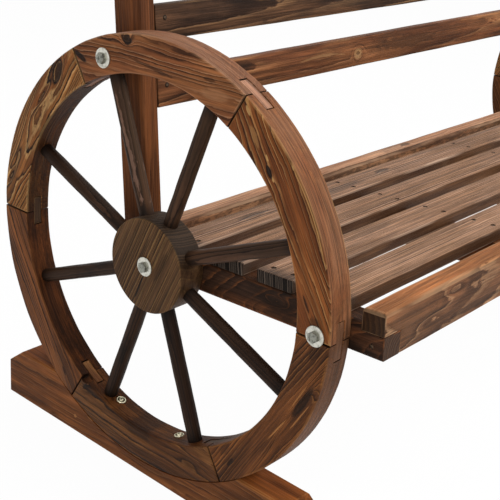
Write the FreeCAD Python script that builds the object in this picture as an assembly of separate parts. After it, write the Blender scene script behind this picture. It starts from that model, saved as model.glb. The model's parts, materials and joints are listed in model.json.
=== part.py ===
import FreeCAD, Part

import math
import os

# Garden bench carried by two wooden cart wheels that stand in saddled skids.
# Millimetres and degrees. +X runs along the seat, +Y to the back, +Z up.
# The origin is the bottom centre of the overall box.
# Each piece is drawn for the left side, as seen by someone in front of the bench, in a wheel frame:
# x goes inward from the wheel's outer face, y to the back and z up from the hub's axis.

# Overall
bench_length = 1500.0

# Wheel rim: six felloes, butted on radial lines and held by loose tongues
wheel_radius = 300.0
rim_depth = 50.0
wheel_thickness = 40.0
felloe_count = 6
felloe_gap = 0.3
tongue_length = 46.0
tongue_thickness = 14.0
tongue_clearance = 0.2

# Hub and spokes, whose angles go upwards from the rim's front joint
hub_diameter = 130.0
hub_proud = 2.0
hub_arris = 2.0
spoke_diameter = 20.0
spoke_rim_socket = 12.0
spoke_hub_socket = 18.0
spoke_clearance = 0.2
spoke_angles = (23.0, 70.0, 110.0, 157.0, 203.0, 250.0, 290.0, 337.0)

# Wheel bolts: hexagon bolts with large washers and nuts
bolt_diameter = 8.0
bolt_head_across_flats = 13.0
bolt_head_height = 5.3
bolt_spare = 5.0
bolt_clearance = 0.4
washer_diameter = 25.0
washer_thickness = 2.0
washer_room = 0.5
nut_height = 6.5

# Rim bolts: the seat bolt is just above the front joint, the post bolt behind the post's middle
seat_bolt_outset = 4.0
seat_bolt_rise = 3.0
joint_bolt_land = 2.0
post_bolt_inset = 2.5
post_bolt_setback = 3.0

# Skid with the saddle that the wheel stands in
skid_length = 590.0
skid_width = 47.0
skid_height = 83.0
skid_chamfer_length = 32.0
skid_chamfer_height = 26.0
skid_arris = 2.0
saddle_depth = 63.0
saddle_clearance = 0.2

# Skid screws: flanged heads, driven outwards through the rim behind and before its lowest point
skid_screw_angles = (-14.8, 12.6)
skid_screw_cover = 10.0
skid_screw_diameter = 6.0
skid_screw_head_diameter = 12.0
skid_screw_head_height = 4.0
skid_screw_clearance = 0.2

# Seat frame, tilted back about the hub's axis
seat_pitch = 3.0
bearer_width = 34.0
bearer_height = 42.0
bearer_tail = 2.0
mid_bearer_count = 3
rail_thickness = 32.0
rail_wheel_gap = 14.0
rail_lap_share = 0.5
seat_back_reach = 60.0
board_arris = 2.0
joint_clearance = 0.2

# Stub tenons of the rear rail and the middle bearers
stub_tenon_length = 10.0
stub_tenon_thickness = 16.0
stub_tenon_height = 26.0

# Seat slats
seat_slat_count = 4
seat_slat_width = 57.0
seat_slat_thickness = 18.0

# Back posts and back slats, raked about the hub's axis
back_rake_angle = 6.4
post_offset = 36.0
post_depth = 48.0
post_setback = 7.0
post_lap_share = 0.5
post_rise = 25.0
post_chamfer = 6.0
back_slat_count = 4
back_slat_height = 46.0
back_slat_thickness = 18.0
back_slat_bolt_room = 3.0
back_slat_gap = 41.0
back_tenon_length = 10.0
back_tenon_height = 28.0
back_tenon_thickness = 9.0

# How far a cutting tool runs past the face that it opens
overrun = 5.0

# Wheel sizes that follow
rim_inner_radius = wheel_radius - rim_depth
rim_mean_radius = wheel_radius - rim_depth / 2
hub_radius = hub_diameter / 2
felloe_angle = 360.0 / felloe_count
wheel_middle = wheel_thickness / 2
bolt_hole_radius = bolt_diameter / 2 + bolt_clearance
skid_top = saddle_depth - wheel_radius
skid_bottom = skid_top - skid_height

# Seat sizes that follow: the bearer's top just clears the washer on the hub bolt
bearer_top = washer_diameter / 2 + washer_room
bearer_drop = bearer_height - bearer_top
bearer_axis_level = bearer_top - bearer_height / 2
bearer_inner_face = wheel_thickness + bearer_width
bearer_middle = wheel_thickness + bearer_width / 2
seat_top = bearer_top + seat_slat_thickness
rail_height = bearer_height + seat_slat_thickness
lap_level = rail_height * rail_lap_share - bearer_drop
front_rail_back = -wheel_radius - rail_wheel_gap
front_rail_front = front_rail_back - rail_thickness
rear_rail_front = seat_back_reach - rail_thickness
rear_rail_middle = seat_back_reach - rail_thickness / 2
slat_room = rear_rail_front - front_rail_back
slat_gap = (slat_room - seat_slat_count * seat_slat_width) / (seat_slat_count + 1)
stub_tenon_low = bearer_axis_level - stub_tenon_height / 2

# Back sizes that follow: the second slat clears the washer on the post bolt
post_inner_face = bearer_inner_face - post_setback
post_lap_face = wheel_thickness + bearer_width * post_lap_share
post_middle = post_offset + post_depth / 2
post_back = post_offset + post_depth
post_bolt_depth = post_middle + post_bolt_setback
post_bolt_radius = rim_mean_radius - post_bolt_inset
post_bolt_level = math.sqrt(post_bolt_radius ** 2 - post_bolt_depth ** 2)
back_slat_pitch = back_slat_height + back_slat_gap
back_slat_start = post_bolt_level + washer_diameter / 2 + back_slat_bolt_room - back_slat_pitch
post_top = back_slat_start + back_slat_pitch * back_slat_count - back_slat_gap + post_rise

# Place of the left wheel frame in the bench's frame
front_reach = -front_rail_front * math.cos(math.radians(seat_pitch))
front_reach += bearer_drop * math.sin(math.radians(seat_pitch))
back_reach = max(wheel_radius, skid_length / 2)
wheel_place = FreeCAD.Vector(-bench_length / 2, (front_reach - back_reach) / 2, -skid_bottom)

zero = FreeCAD.Vector(0, 0, 0)
x_axis = FreeCAD.Vector(1, 0, 0)
y_axis = FreeCAD.Vector(0, 1, 0)
z_axis = FreeCAD.Vector(0, 0, 1)
bench_middle = x_axis * (bench_length / 2)


# Shapes that several pieces use

def block(low, high):
    """Box between two corners."""
    size = [end - start for start, end in zip(low, high)]
    return Part.makeBox(*size, FreeCAD.Vector(*low))


def rod(start, direction, radius, length):
    """Cylinder from a point along a direction."""
    return Part.makeCylinder(radius, length, start, direction)


def prism(points, along):
    """Closed outline of corner points, pushed along a vector."""
    outline = Part.makePolygon(points + [points[0]])
    return Part.Face(outline).extrude(along)


def turned(profile):
    """Closed outline of (radius, height) corners, turned about the Z axis."""
    points = [FreeCAD.Vector(radius, 0, height) for radius, height in profile]
    outline = Part.makePolygon(points + [points[0]])
    return Part.Face(outline).revolve(zero, z_axis, 360)


def runs_along(edge, direction):
    """Whether a straight edge runs along a direction."""
    if not isinstance(edge.Curve, Part.Line):
        return False
    return abs(abs(edge.tangentAt(edge.FirstParameter).dot(direction)) - 1) < 1e-6


def eased(shape, direction, arris):
    """Shape with the arrises that run along one direction planed off."""
    edges = [edge for edge in shape.Edges if runs_along(edge, direction)]
    return shape.makeChamfer(arris, edges)


def placed(shape, position, direction):
    """Copy of a shape drawn about Z, with its Z axis turned to a direction and moved to a position."""
    moved = shape.copy()
    moved.Placement = FreeCAD.Placement(position, FreeCAD.Rotation(z_axis, direction))
    return moved


def tilted(shape, angle):
    """Copy of a shape leaned back about the hub's axis."""
    moved = shape.copy()
    moved.rotate(zero, x_axis, -angle)
    return moved


def tilted_level(level, angle):
    """Where a place (y, z) of a frame that leans back by an angle lies in the wheel frame."""
    depth, height = level
    turn = math.radians(angle)
    return (
        depth * math.cos(turn) + height * math.sin(turn),
        height * math.cos(turn) - depth * math.sin(turn),
    )


def rim_direction(angle):
    """Unit vector from the hub, with the angle measured upwards from the front."""
    turn = math.radians(angle)
    return FreeCAD.Vector(0, -math.cos(turn), math.sin(turn))


# Wheel bolts, with their washers, nuts and holes

def hexagon(across_flats, height):
    """Hexagonal prism standing on zero."""
    corner = across_flats / 2 / math.cos(math.radians(30))
    turns = [math.radians(60 * side) for side in range(6)]
    points = [FreeCAD.Vector(corner * math.cos(turn), corner * math.sin(turn), 0) for turn in turns]
    return prism(points, z_axis * height)


def bolt_levels():
    """Places (y, z) of the hub bolt, the seat bolt and the post bolt on the wheel."""
    level = bearer_axis_level + seat_bolt_rise
    radius = rim_mean_radius + seat_bolt_outset
    return (
        (0.0, 0.0),
        tilted_level((-math.sqrt(radius ** 2 - level ** 2), level), seat_pitch),
        tilted_level((post_bolt_depth, post_bolt_level), back_rake_angle),
    )


def first_joint_angle():
    """Angle of the rim's front joint, with a little wood between it and the seat bolt's hole."""
    depth, height = bolt_levels()[1]
    land = math.asin((bolt_hole_radius + joint_bolt_land) / math.hypot(depth, height))
    return math.degrees(math.atan2(height, -depth) - land)


def bolt_holes():
    """Holes along X through everything that the wheel bolts hold."""
    holes = []
    for depth, height in bolt_levels():
        start = FreeCAD.Vector(-hub_proud - overrun, depth, height)
        holes.append(rod(start, x_axis, bolt_hole_radius, hub_proud + bearer_inner_face + 2 * overrun))
    return holes


def wheel_bolt(near_face, far_face, level):
    """Bolt, two washers and nut, from the wheel's outer face to the far face of what it holds."""
    start = FreeCAD.Vector(near_face, *level)
    end = FreeCAD.Vector(far_face, *level)
    outward = x_axis * -1
    length = far_face - near_face + 2 * washer_thickness + nut_height + bolt_spare
    shank = rod(zero, z_axis * -1, bolt_diameter / 2, length)
    bolt = hexagon(bolt_head_across_flats, bolt_head_height).fuse(shank)
    bore = rod(zero, z_axis, bolt_diameter / 2, nut_height)
    nut = hexagon(bolt_head_across_flats, nut_height).cut(bore)
    washer_bore = rod(zero, z_axis, bolt_hole_radius, washer_thickness)
    washer = rod(zero, z_axis, washer_diameter / 2, washer_thickness).cut(washer_bore)
    return {
        "wheel_bolts": [placed(bolt, start + outward * washer_thickness, outward)],
        "wheel_washers": [placed(washer, start, outward), placed(washer, end, x_axis)],
        "wheel_nuts": [placed(nut, end + x_axis * washer_thickness, x_axis)],
    }


# Skid screws

def skid_screw_seat_radius():
    """Distance from the hub's axis at which a flat head's edge meets the round inside of the rim."""
    return math.sqrt(rim_inner_radius ** 2 - (skid_screw_head_diameter / 2) ** 2)


def skid_screw_seats():
    """Seat and outward direction of the two skid screws of a wheel, in the middle of the skid's width."""
    seats = []
    for angle in skid_screw_angles:
        outward = rim_direction(270 + angle)
        seats.append((outward * skid_screw_seat_radius() + x_axis * (skid_width / 2), outward))
    return seats


def skid_screw_length():
    """Length below the heads, which all end a little above the skid's underside."""
    steepest = min(abs(angle) for angle in skid_screw_angles)
    to_underside = -skid_bottom / math.cos(math.radians(steepest))
    return to_underside - skid_screw_cover - skid_screw_seat_radius()


def skid_screw(seat, outward):
    """Screw with a round flanged head."""
    shank = rod(seat, outward, skid_screw_diameter / 2, skid_screw_length())
    head = rod(seat, outward * -1, skid_screw_head_diameter / 2, skid_screw_head_height)
    return head.fuse(shank)


def skid_screw_hole(seat, outward):
    """Hole for a skid screw through the rim and into the skid."""
    radius = skid_screw_diameter / 2 + skid_screw_clearance
    length = skid_screw_length() + skid_screw_clearance
    return rod(seat - outward * overrun, outward, radius, length + overrun)


# Wheel

def rim_ring():
    """Whole rim, turned about the hub's axis."""
    corners = [(rim_inner_radius, 0), (wheel_radius, 0)]
    corners += [(wheel_radius, wheel_thickness), (rim_inner_radius, wheel_thickness)]
    return placed(turned(corners), zero, x_axis)


def radial_bar(angle, half_width, low, high):
    """Bar that runs out along a radius past the rim, between two X levels."""
    bar = block((low, -half_width, 0), (high, half_width, wheel_radius + overrun))
    bar.rotate(zero, x_axis, 90 - angle)
    return bar


def tongue_bar(angle, clearance):
    """Bar of a tongue's section along a joint, or with a clearance the groove for it."""
    half_width = tongue_length / 2 + clearance
    half_height = tongue_thickness / 2 + clearance
    return radial_bar(angle, half_width, wheel_middle - half_height, wheel_middle + half_height)


def spoke_socket(angle):
    """Hole that takes both ends of a spoke."""
    outward = rim_direction(first_joint_angle() + angle)
    inner = hub_radius - spoke_hub_socket - spoke_clearance
    outer = rim_inner_radius + spoke_rim_socket + spoke_clearance
    start = outward * inner + x_axis * wheel_middle
    return rod(start, outward, spoke_diameter / 2 + spoke_clearance, outer - inner)


def felloe(ring, number, tools):
    """Sector of the rim between two radial joints, with its grooves and the holes that fall in it."""
    start = first_joint_angle() + felloe_angle * number
    ends = (start, start + felloe_angle)
    corners = [zero] + [rim_direction(angle) * (2 * wheel_radius) for angle in ends]
    corners = [corner - x_axis * overrun for corner in corners]
    wedge = prism(corners, x_axis * (wheel_thickness + 2 * overrun))
    gaps = [radial_bar(angle, felloe_gap / 2, -overrun, wheel_thickness + overrun) for angle in ends]
    grooves = [tongue_bar(angle, tongue_clearance) for angle in ends]
    return ring.common(wedge).cut(gaps + grooves + tools)


def felloe_tongues(ring, holes):
    """Loose tongues, flush with the inner and outer faces of the rim."""
    angles = [first_joint_angle() + felloe_angle * number for number in range(felloe_count)]
    return [ring.common(tongue_bar(angle, 0.0)).cut(holes) for angle in angles]


def hub(tools):
    """Turned disc in the middle of the wheel, with its front arris eased."""
    profile = [(0, -hub_proud), (hub_radius - hub_arris, -hub_proud), (hub_radius, hub_arris - hub_proud)]
    profile += [(hub_radius, wheel_thickness), (0, wheel_thickness)]
    return placed(turned(profile), zero, x_axis).cut(tools)


def spoke(angle):
    """Round bar that runs from its socket in the hub to its socket in the rim."""
    outward = rim_direction(first_joint_angle() + angle)
    inner = hub_radius - spoke_hub_socket
    length = rim_inner_radius + spoke_rim_socket - inner
    return rod(outward * inner + x_axis * wheel_middle, outward, spoke_diameter / 2, length)


def skid(tools):
    """Foot beam with sloped ends and the round saddle that the rim is let into."""
    half = skid_length / 2
    shoulder = half - skid_chamfer_length
    end_top = skid_top - skid_chamfer_height
    outline = [(-half, skid_bottom), (half, skid_bottom), (half, end_top)]
    outline += [(shoulder, skid_top), (-shoulder, skid_top), (-half, end_top)]
    beam = prism([FreeCAD.Vector(0, depth, level) for depth, level in outline], x_axis * skid_width)
    saddle = rod(x_axis * -overrun, x_axis, wheel_radius + saddle_clearance, skid_width + 2 * overrun)
    return eased(beam, y_axis, skid_arris).cut([saddle] + tools)


# Seat, drawn in the frame that the seat's pitch tilts

def support_lines():
    """X places of the middle bearers, evenly spaced between the side bearers."""
    bay = (bench_length - 2 * bearer_middle) / (mid_bearer_count + 1)
    return [bearer_middle + bay * (number + 1) for number in range(mid_bearer_count)]


def stub_tenon(along_x, start, middle, side, clearance=0.0):
    """Tenon that leaves a face to one side (-1 or 1), or with a clearance the mortise for it."""
    half = stub_tenon_thickness / 2 + clearance
    low, high = stub_tenon_low - clearance, stub_tenon_low + stub_tenon_height + clearance
    end = start + side * (stub_tenon_length + clearance)
    near, far = min(start, end), max(start, end)
    if along_x:
        return block((near, middle - half, low), (far, middle + half, high))
    return block((middle - half, near, low), (middle + half, far, high))


def side_bearer(holes):
    """End bearer with a lap for the front rail and another for the foot of the back post."""
    low, high = wheel_thickness, bearer_inner_face
    beam = block((low, front_rail_front, -bearer_drop), (high, post_back + bearer_tail, bearer_top))
    rail_lap = block(
        (low - overrun, front_rail_front - overrun, lap_level - joint_clearance),
        (high + overrun, front_rail_back + joint_clearance, bearer_top + overrun),
    )
    post_lap = block(
        (low - overrun, post_offset - joint_clearance, -2 * bearer_height),
        (post_lap_face + joint_clearance, 2 * post_back, 2 * bearer_height),
    )
    mortise = stub_tenon(True, high, rear_rail_middle, -1, joint_clearance)
    tools = [rail_lap, mortise, tilted(post_lap, back_rake_angle - seat_pitch)]
    tools += [tilted(hole, -seat_pitch) for hole in holes]
    return eased(beam, y_axis, board_arris).cut(tools)


def middle_bearer(line):
    """Bearer between the two rails, with a stub tenon at each end."""
    low, high = line - bearer_width / 2, line + bearer_width / 2
    beam = block((low, front_rail_back, -bearer_drop), (high, rear_rail_front, bearer_top))
    front = stub_tenon(False, front_rail_back, line, -1)
    back = stub_tenon(False, rear_rail_front, line, 1)
    return eased(beam, y_axis, board_arris).fuse([front, back])


def front_rail():
    """Front rail whose ends lap over both side bearers."""
    low, high = wheel_thickness, bench_length - wheel_thickness
    beam = block((low, front_rail_front, -bearer_drop), (high, front_rail_back, seat_top))
    lap = block(
        (low - overrun, front_rail_front - overrun, -bearer_drop - overrun),
        (bearer_inner_face, front_rail_back + overrun, lap_level),
    )
    tools = [lap, lap.mirror(bench_middle, x_axis)]
    tools += [stub_tenon(False, front_rail_back, line, -1, joint_clearance) for line in support_lines()]
    return eased(beam, x_axis, board_arris).cut(tools)


def rear_rail():
    """Rear rail between the side bearers, with a stub tenon at each end."""
    low, high = bearer_inner_face, bench_length - bearer_inner_face
    beam = block((low, rear_rail_front, -bearer_drop), (high, seat_back_reach, seat_top))
    tenon = stub_tenon(True, low, rear_rail_middle, -1)
    tools = [stub_tenon(False, rear_rail_front, line, 1, joint_clearance) for line in support_lines()]
    return eased(beam, x_axis, board_arris).fuse([tenon, tenon.mirror(bench_middle, x_axis)]).cut(tools)


def seat_slat(number):
    """Board of the seat, counted from the front."""
    front = front_rail_back + slat_gap + (seat_slat_width + slat_gap) * number
    low = (wheel_thickness, front, bearer_top)
    high = (bench_length - wheel_thickness, front + seat_slat_width, seat_top)
    return eased(block(low, high), x_axis, board_arris)


# Backrest, drawn in the frame that the rake leans back

def back_slat_level(number):
    """Underside of a back slat, counted from the lowest."""
    return back_slat_start + back_slat_pitch * number


def back_tenon(number, clearance=0.0):
    """Left tenon of a back slat, or with a clearance its mortise."""
    middle = post_offset + back_slat_thickness / 2
    half = back_tenon_thickness / 2 + clearance
    low = back_slat_level(number) + (back_slat_height - back_tenon_height) / 2 - clearance
    high = low + back_tenon_height + 2 * clearance
    end = post_inner_face - back_tenon_length - clearance
    return block((end, middle - half, low), (post_inner_face, middle + half, high))


def back_slat(number):
    """Board between the posts, flush with their fronts, with a tenon at each end."""
    level = back_slat_level(number)
    low = (post_inner_face, post_offset, level)
    high = (bench_length - post_inner_face, post_offset + back_slat_thickness, level + back_slat_height)
    tenon = back_tenon(number)
    return eased(block(low, high), x_axis, board_arris).fuse([tenon, tenon.mirror(bench_middle, x_axis)])


def back_post(holes):
    """Raked post whose foot is halved into the side bearer."""
    low = (wheel_thickness, post_offset, -2 * bearer_drop)
    high = (post_inner_face, post_back, post_top)
    corner = FreeCAD.Vector(0, post_back, post_top)
    past = y_axis * overrun
    above = z_axis * overrun
    chamfer = post_chamfer + overrun
    points = [corner + past + above, corner + past - z_axis * chamfer, corner - y_axis * chamfer + above]
    tools = [prism(points, x_axis * (post_inner_face + overrun))]
    tools += [back_tenon(number, joint_clearance) for number in range(back_slat_count)]
    under_bearer = block(
        (0, -bench_length, -bench_length),
        (bench_length, bench_length, -bearer_drop),
    )
    behind_lap = block(
        (post_lap_face, -bench_length, -bench_length),
        (bench_length, bench_length, bearer_top + joint_clearance),
    )
    tools += [tilted(tool, seat_pitch - back_rake_angle) for tool in (under_bearer, behind_lap)]
    tools += [tilted(hole, -back_rake_angle) for hole in holes]
    return eased(block(low, high), z_axis, board_arris).cut(tools)


# The whole bench

def write(node, pieces):
    """Move pieces from the wheel frame to the bench's and write them as one STEP file."""
    solids = []
    for piece in pieces:
        moved = piece.copy()
        moved.translate(wheel_place)
        solids += moved.Solids
    shape = solids[0] if len(solids) == 1 else Part.makeCompound(solids)
    shape.exportStep("parts/" + node + ".step")


def mirrored(pieces):
    """The same pieces for the other end of the bench."""
    return [piece.mirror(bench_middle, x_axis) for piece in pieces]


def write_sides(name, pieces):
    """Write pieces of the left side, and their mirror images on the right."""
    write("left_" + name, pieces)
    write("right_" + name, mirrored(pieces))


def build_wheels(holes, screw_holes):
    """Felloes, tongues, hubs, spokes and skids."""
    ring = rim_ring()
    sockets = [spoke_socket(angle) for angle in spoke_angles]
    for number in range(felloe_count):
        write_sides("felloe_%d" % (number + 1), [felloe(ring, number, sockets + holes + screw_holes)])
    write_sides("felloe_tongues", felloe_tongues(ring, holes))
    write_sides("hub", [hub(sockets + holes)])
    for number, angle in enumerate(spoke_angles):
        write_sides("spoke_%d" % (number + 1), [spoke(angle)])
    write_sides("skid", [skid(screw_holes)])


def build_seat(holes):
    """Bearers, rails and seat slats."""
    write_sides("bearer", [tilted(side_bearer(holes), seat_pitch)])
    for number, line in enumerate(support_lines()):
        write("middle_bearer_%d" % (number + 1), [tilted(middle_bearer(line), seat_pitch)])
    write("front_rail", [tilted(front_rail(), seat_pitch)])
    write("rear_rail", [tilted(rear_rail(), seat_pitch)])
    for number in range(seat_slat_count):
        write("seat_slat_%d" % (number + 1), [tilted(seat_slat(number), seat_pitch)])


def build_back(holes):
    """Back posts and back slats."""
    write_sides("back_post", [tilted(back_post(holes), back_rake_angle)])
    for number in range(back_slat_count):
        write("back_slat_%d" % (number + 1), [tilted(back_slat(number), back_rake_angle)])


def build_fasteners():
    """Wheel bolts with their washers and nuts, and the skid screws, alike ones in one file."""
    hub_level, seat_level, post_level = bolt_levels()
    bolts = [
        wheel_bolt(-hub_proud, bearer_inner_face, hub_level),
        wheel_bolt(0.0, bearer_inner_face, seat_level),
        wheel_bolt(0.0, post_inner_face, post_level),
    ]
    for node in bolts[0]:
        pieces = [piece for bolt in bolts for piece in bolt[node]]
        write(node, pieces + mirrored(pieces))
    screws = [skid_screw(seat, outward) for seat, outward in skid_screw_seats()]
    write("skid_screws", screws + mirrored(screws))


os.makedirs("parts", exist_ok=True)
wheel_holes = bolt_holes()
build_wheels(wheel_holes, [skid_screw_hole(seat, outward) for seat, outward in skid_screw_seats()])
build_seat(wheel_holes)
build_back(wheel_holes)
build_fasteners()
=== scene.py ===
"""Looks of a garden bench carried by two cart wheels, of flamed and stained fir.

Lengths in the dataclasses are millimetres. A wheel's x goes inward from its outer face, y to the
back and z up from the hub's axis. Finished meshes are in metres in the bench's frame.
"""

import json
import logging
import math
from dataclasses import dataclass, replace
from enum import Enum

import bmesh
import bpy
from mathutils import Matrix, Vector, noise

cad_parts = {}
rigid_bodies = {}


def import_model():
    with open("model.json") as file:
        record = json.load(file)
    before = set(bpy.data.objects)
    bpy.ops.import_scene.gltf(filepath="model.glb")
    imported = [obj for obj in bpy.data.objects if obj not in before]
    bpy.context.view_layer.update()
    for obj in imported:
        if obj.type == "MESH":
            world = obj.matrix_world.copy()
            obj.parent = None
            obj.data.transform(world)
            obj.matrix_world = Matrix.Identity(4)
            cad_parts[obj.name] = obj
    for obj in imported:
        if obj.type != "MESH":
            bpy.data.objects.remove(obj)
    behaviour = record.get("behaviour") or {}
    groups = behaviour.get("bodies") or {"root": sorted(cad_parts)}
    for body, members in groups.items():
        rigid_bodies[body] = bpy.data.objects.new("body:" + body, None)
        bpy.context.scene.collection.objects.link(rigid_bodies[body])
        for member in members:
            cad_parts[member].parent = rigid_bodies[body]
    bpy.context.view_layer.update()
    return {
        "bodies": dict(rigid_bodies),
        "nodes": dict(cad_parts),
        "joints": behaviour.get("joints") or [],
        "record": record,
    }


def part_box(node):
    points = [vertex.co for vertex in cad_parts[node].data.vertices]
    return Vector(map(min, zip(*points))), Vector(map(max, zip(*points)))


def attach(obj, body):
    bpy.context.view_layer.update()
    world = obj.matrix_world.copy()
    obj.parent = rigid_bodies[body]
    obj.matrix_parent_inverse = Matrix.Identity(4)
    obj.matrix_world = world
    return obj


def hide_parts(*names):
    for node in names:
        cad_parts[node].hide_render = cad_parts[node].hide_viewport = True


log = logging.getLogger("cart_wheel_bench")
MM = 0.001
SHARP = math.radians(32.0)
SOFT = {"interpolation_type": "SMOOTHSTEP"}
TINT = {"data_type": "RGBA"}
Socket = bpy.types.NodeSocket
Mesh = bmesh.types.BMesh
Piece = bpy.types.Object
Triple = tuple[float, float, float]


def linear(colour: str) -> tuple[float, float, float, float]:
    """Turns an sRGB hex colour into linear light.

    Args:
        colour: Colour written as "#RRGGBB".

    Returns:
        Red, green, blue and an alpha of one.
    """
    shares = [int(colour[i:i + 2], 16) / 255 for i in (1, 3, 5)]
    light = [s / 12.92 if s <= 0.04045 else ((s + 0.055) / 1.055) ** 2.4 for s in shares]
    return (light[0], light[1], light[2], 1.0)


# Node trees

class NodeSheet:
    """Node tree of a material or of the world, with one short way to add linked nodes."""

    def __init__(self, owner: bpy.types.ID) -> None:
        """Empties the owner's node tree.

        Args:
            owner: Material or world that the tree belongs to.
        """
        owner.use_nodes = True
        self.owner = owner
        self.tree = owner.node_tree
        self.tree.nodes.clear()

    def add(self, kind: str, *values, **settings) -> Socket:
        """Adds one node with its settings and links.

        Args:
            kind: Type of the node, with its operation after a colon where it has one.
            values: Values or sockets for the node's live inputs, in their order, or one dict by name.
            settings: Other properties of the node.

        Returns:
            The node's first live output, whose node holds the others.
        """
        kind, _, operation = kind.partition(":")
        node = self.tree.nodes.new("ShaderNode" + kind)
        if operation:
            node.operation = operation
        for key, value in settings.items():
            setattr(node, key, value)
        if values and isinstance(values[0], dict):
            pairs = [(node.inputs[name], value) for name, value in values[0].items()]
        else:
            pairs = zip([socket for socket in node.inputs if socket.enabled], values)
        for socket, value in pairs:
            if isinstance(value, Socket):
                self.tree.links.new(value, socket)
            else:
                socket.default_value = value
        return next((socket for socket in node.outputs if socket.enabled), None)

    def finish(self, kind: str, shader: Socket) -> bpy.types.ID:
        """Links the shader to the output.

        Args:
            kind: OutputMaterial or OutputWorld.
            shader: What the output shows.

        Returns:
            The material or world.
        """
        self.add(kind, shader)
        return self.owner


# Finishes

@dataclass(frozen=True)
class Mark:
    """A knot, streak or scorched place on a piece's show face, in mm from the piece's middle.

    Attributes:
        along: Place along the fibres.
        across: Place across them.
        width: Half width of the mark.
        stretch: Half length as a multiple of the half width.
        lift: How far the rings bulge round it.
        dark: How dark its middle is, 0 to 1.
        light: How pale its middle is, 0 to 1.
        turn: Angle between the mark's length and the fibres, in degrees.
        bend: How far the mark's ends curve aside, in mm.
        ragged: How uneven its outline is, 0 to 1.
        calm: How much the rings fade in it, 0 to 1; they stand out more below 0.
    """

    along: float
    across: float
    width: float
    stretch: float = 1.6
    lift: float = 0.0
    dark: float = 0.0
    light: float = 0.0
    turn: float = 0.0
    bend: float = 0.0
    ragged: float = 0.5
    calm: float = 0.0


@dataclass(frozen=True)
class Grain:
    """How a piece lies in the log that it was sawn from.

    Attributes:
        centre: Middle of the piece, in metres in the bench's frame.
        along: Direction of the fibres.
        face: Outward direction of the piece's show face.
        pith_side: Distance of the log's heart from the piece's middle line, across the face, in mm.
        pith_depth: Depth of the heart below the piece's middle, in mm.
        tilt: Slope of the heart along the piece, which opens the figure into arches.
        sway: Slope of the heart sideways along the piece.
        seed: Place in the noise fields, different for each piece.
        marks: Knots, streaks and scorched places.
        side_tone_and_light: Colour mixed into the narrow side that faces against the across direction, if
        it has one: on the felloes their greyer tread, partly painted light, and on the seat slats the
        painted shade of the gap before each slat.
        before: Factor on the colour of the narrow side that faces against the across direction; it is
            painted shade below one and painted light above one, on sides that are partly charred darker too.
        behind: The same factor for the narrow side that faces along it.
        around: The same factor for all the narrow sides.
        reach: Distance from the middle at which the ends begin to darken towards the char colour, in mm;
        none if 0. On the spokes this is char and painted shade where they meet hub and rim.
        axle: Middle of the wheel that the piece is part of, in metres; its sides are planed round it.
    """

    centre: Vector
    along: Vector
    face: Vector
    pith_side: float = 10.0
    pith_depth: float = 60.0
    tilt: float = 0.03
    sway: float = 0.0
    seed: float = 0.0
    marks: tuple[Mark, ...] = ()
    side_tone_and_light: str = ""
    before: float = 1.0
    behind: float = 1.0
    around: float = 1.0
    reach: float = 0.0
    axle: Vector | None = None

    @property
    def across(self) -> Vector:
        """Direction across the show face."""
        return self.face.cross(self.along).normalized()

    @property
    def turn(self) -> Matrix:
        """Turns the bench's frame so that the fibres lie along X and the face looks along Z.

        Returns:
            The rotation.
        """
        along = self.along.normalized()
        face = along.cross(self.across).normalized()
        return Matrix((along, face.cross(along), face))


class Cloud(Enum):
    """Noise fields in a log: features per mm along the fibres, and across them, detail, roughness, seed.

    Real fibres are 0.03 mm wide, too fine to show, so bundles of them about 2 mm wide are drawn.
    """

    FIBRE = (0.009, 0.45, 5.0, 0.72, 0)
    STRAND = (0.005, 0.12, 3.0, 0.6, 2)
    FLAME = (0.009, 0.03, 4.0, 0.62, 0)
    GLOW = (0.006, 0.03, 3.0, 0.55, 2)
    PATCH = (0.007, 0.05, 3.0, 0.55, 1)
    OUTLINE = (0.06, 0.2, 4.0, 0.65, 0)
    RAGS = (0.03, 0.1, 4.0, 0.62, 0)
    DRIFT = (0.004, 0.012, 2.0, 0.5, 0)


@dataclass(frozen=True)
class FlamedFir:
    """Fir that was flamed until its grain stands out, then brushed and stained brown.

    The flame browns the soft wood and blackens the hard line of each ring. The brush then takes
    soft wood away, so that the rings stand up and catch the light, and rubs the arrises pale. The pale
    crests beside the dark lines and the pale arrises are partly painted highlights as well.

    Attributes:
        early: Colour of the soft wood between the rings.
        ember: Warmer colour that the soft wood drifts to.
        late: Colour of the hard dark line of each ring.
        pale: Colour of the crest beside a dark line and of the pale arrises, partly painted highlight.
        char: Colour where the flame stayed longest.
        end_pale: Colour of the paler rings on the end grain.
        end_dark: Colour of the end grain.
        ring: Distance between rings, in mm.
        wander: How far the rings wander, in mm.
        torn: How ragged the rings are, in rings.
        line: Strength of the dark ring lines, 0 to 1.
        thick: Width of the dark ring lines, as a share of a ring.
        crest: Strength of the pale crests, which are partly painted highlights, 0 to 1.
        hair: Strength of the fine lines between the rings, 0 to 1.
        streak: Strength of the fibre streaks, 0 to 1.
        band: Strength of the broad streaks, 0 to 1.
        plain: Share of the surface whose rings are faint, 0 to 1.
        burn: Share of the surface that the flame darkened, 0 to 1.
        wear_and_gleam: Strength of the pale arrises, partly wear and partly painted highlight, 0 to 1.
        rough: Roughness of the open wood.
        relief: Height of the brushed grain, in mm.
    """

    early: str = "#7A4D32"
    ember: str = "#8A5834"
    late: str = "#3A2011"
    pale: str = "#B08358"
    char: str = "#1C110A"
    end_pale: str = "#4E3420"
    end_dark: str = "#1A100A"
    ring: float = 4.5
    wander: float = 7.0
    torn: float = 0.35
    line: float = 0.95
    thick: float = 0.42
    crest: float = 0.6
    hair: float = 0.35
    streak: float = 0.6
    band: float = 0.6
    plain: float = 0.4
    burn: float = 0.3
    wear_and_gleam: float = 0.5
    rough: float = 0.55
    relief: float = 1.0

    def material(self, name: str, grain: Grain) -> bpy.types.Material:
        """Makes the finish for one piece.

        Args:
            name: Name of the material.
            grain: How the piece lies in its log.

        Returns:
            The material.
        """
        return FirSheet(name, self, grain).dressed()


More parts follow.
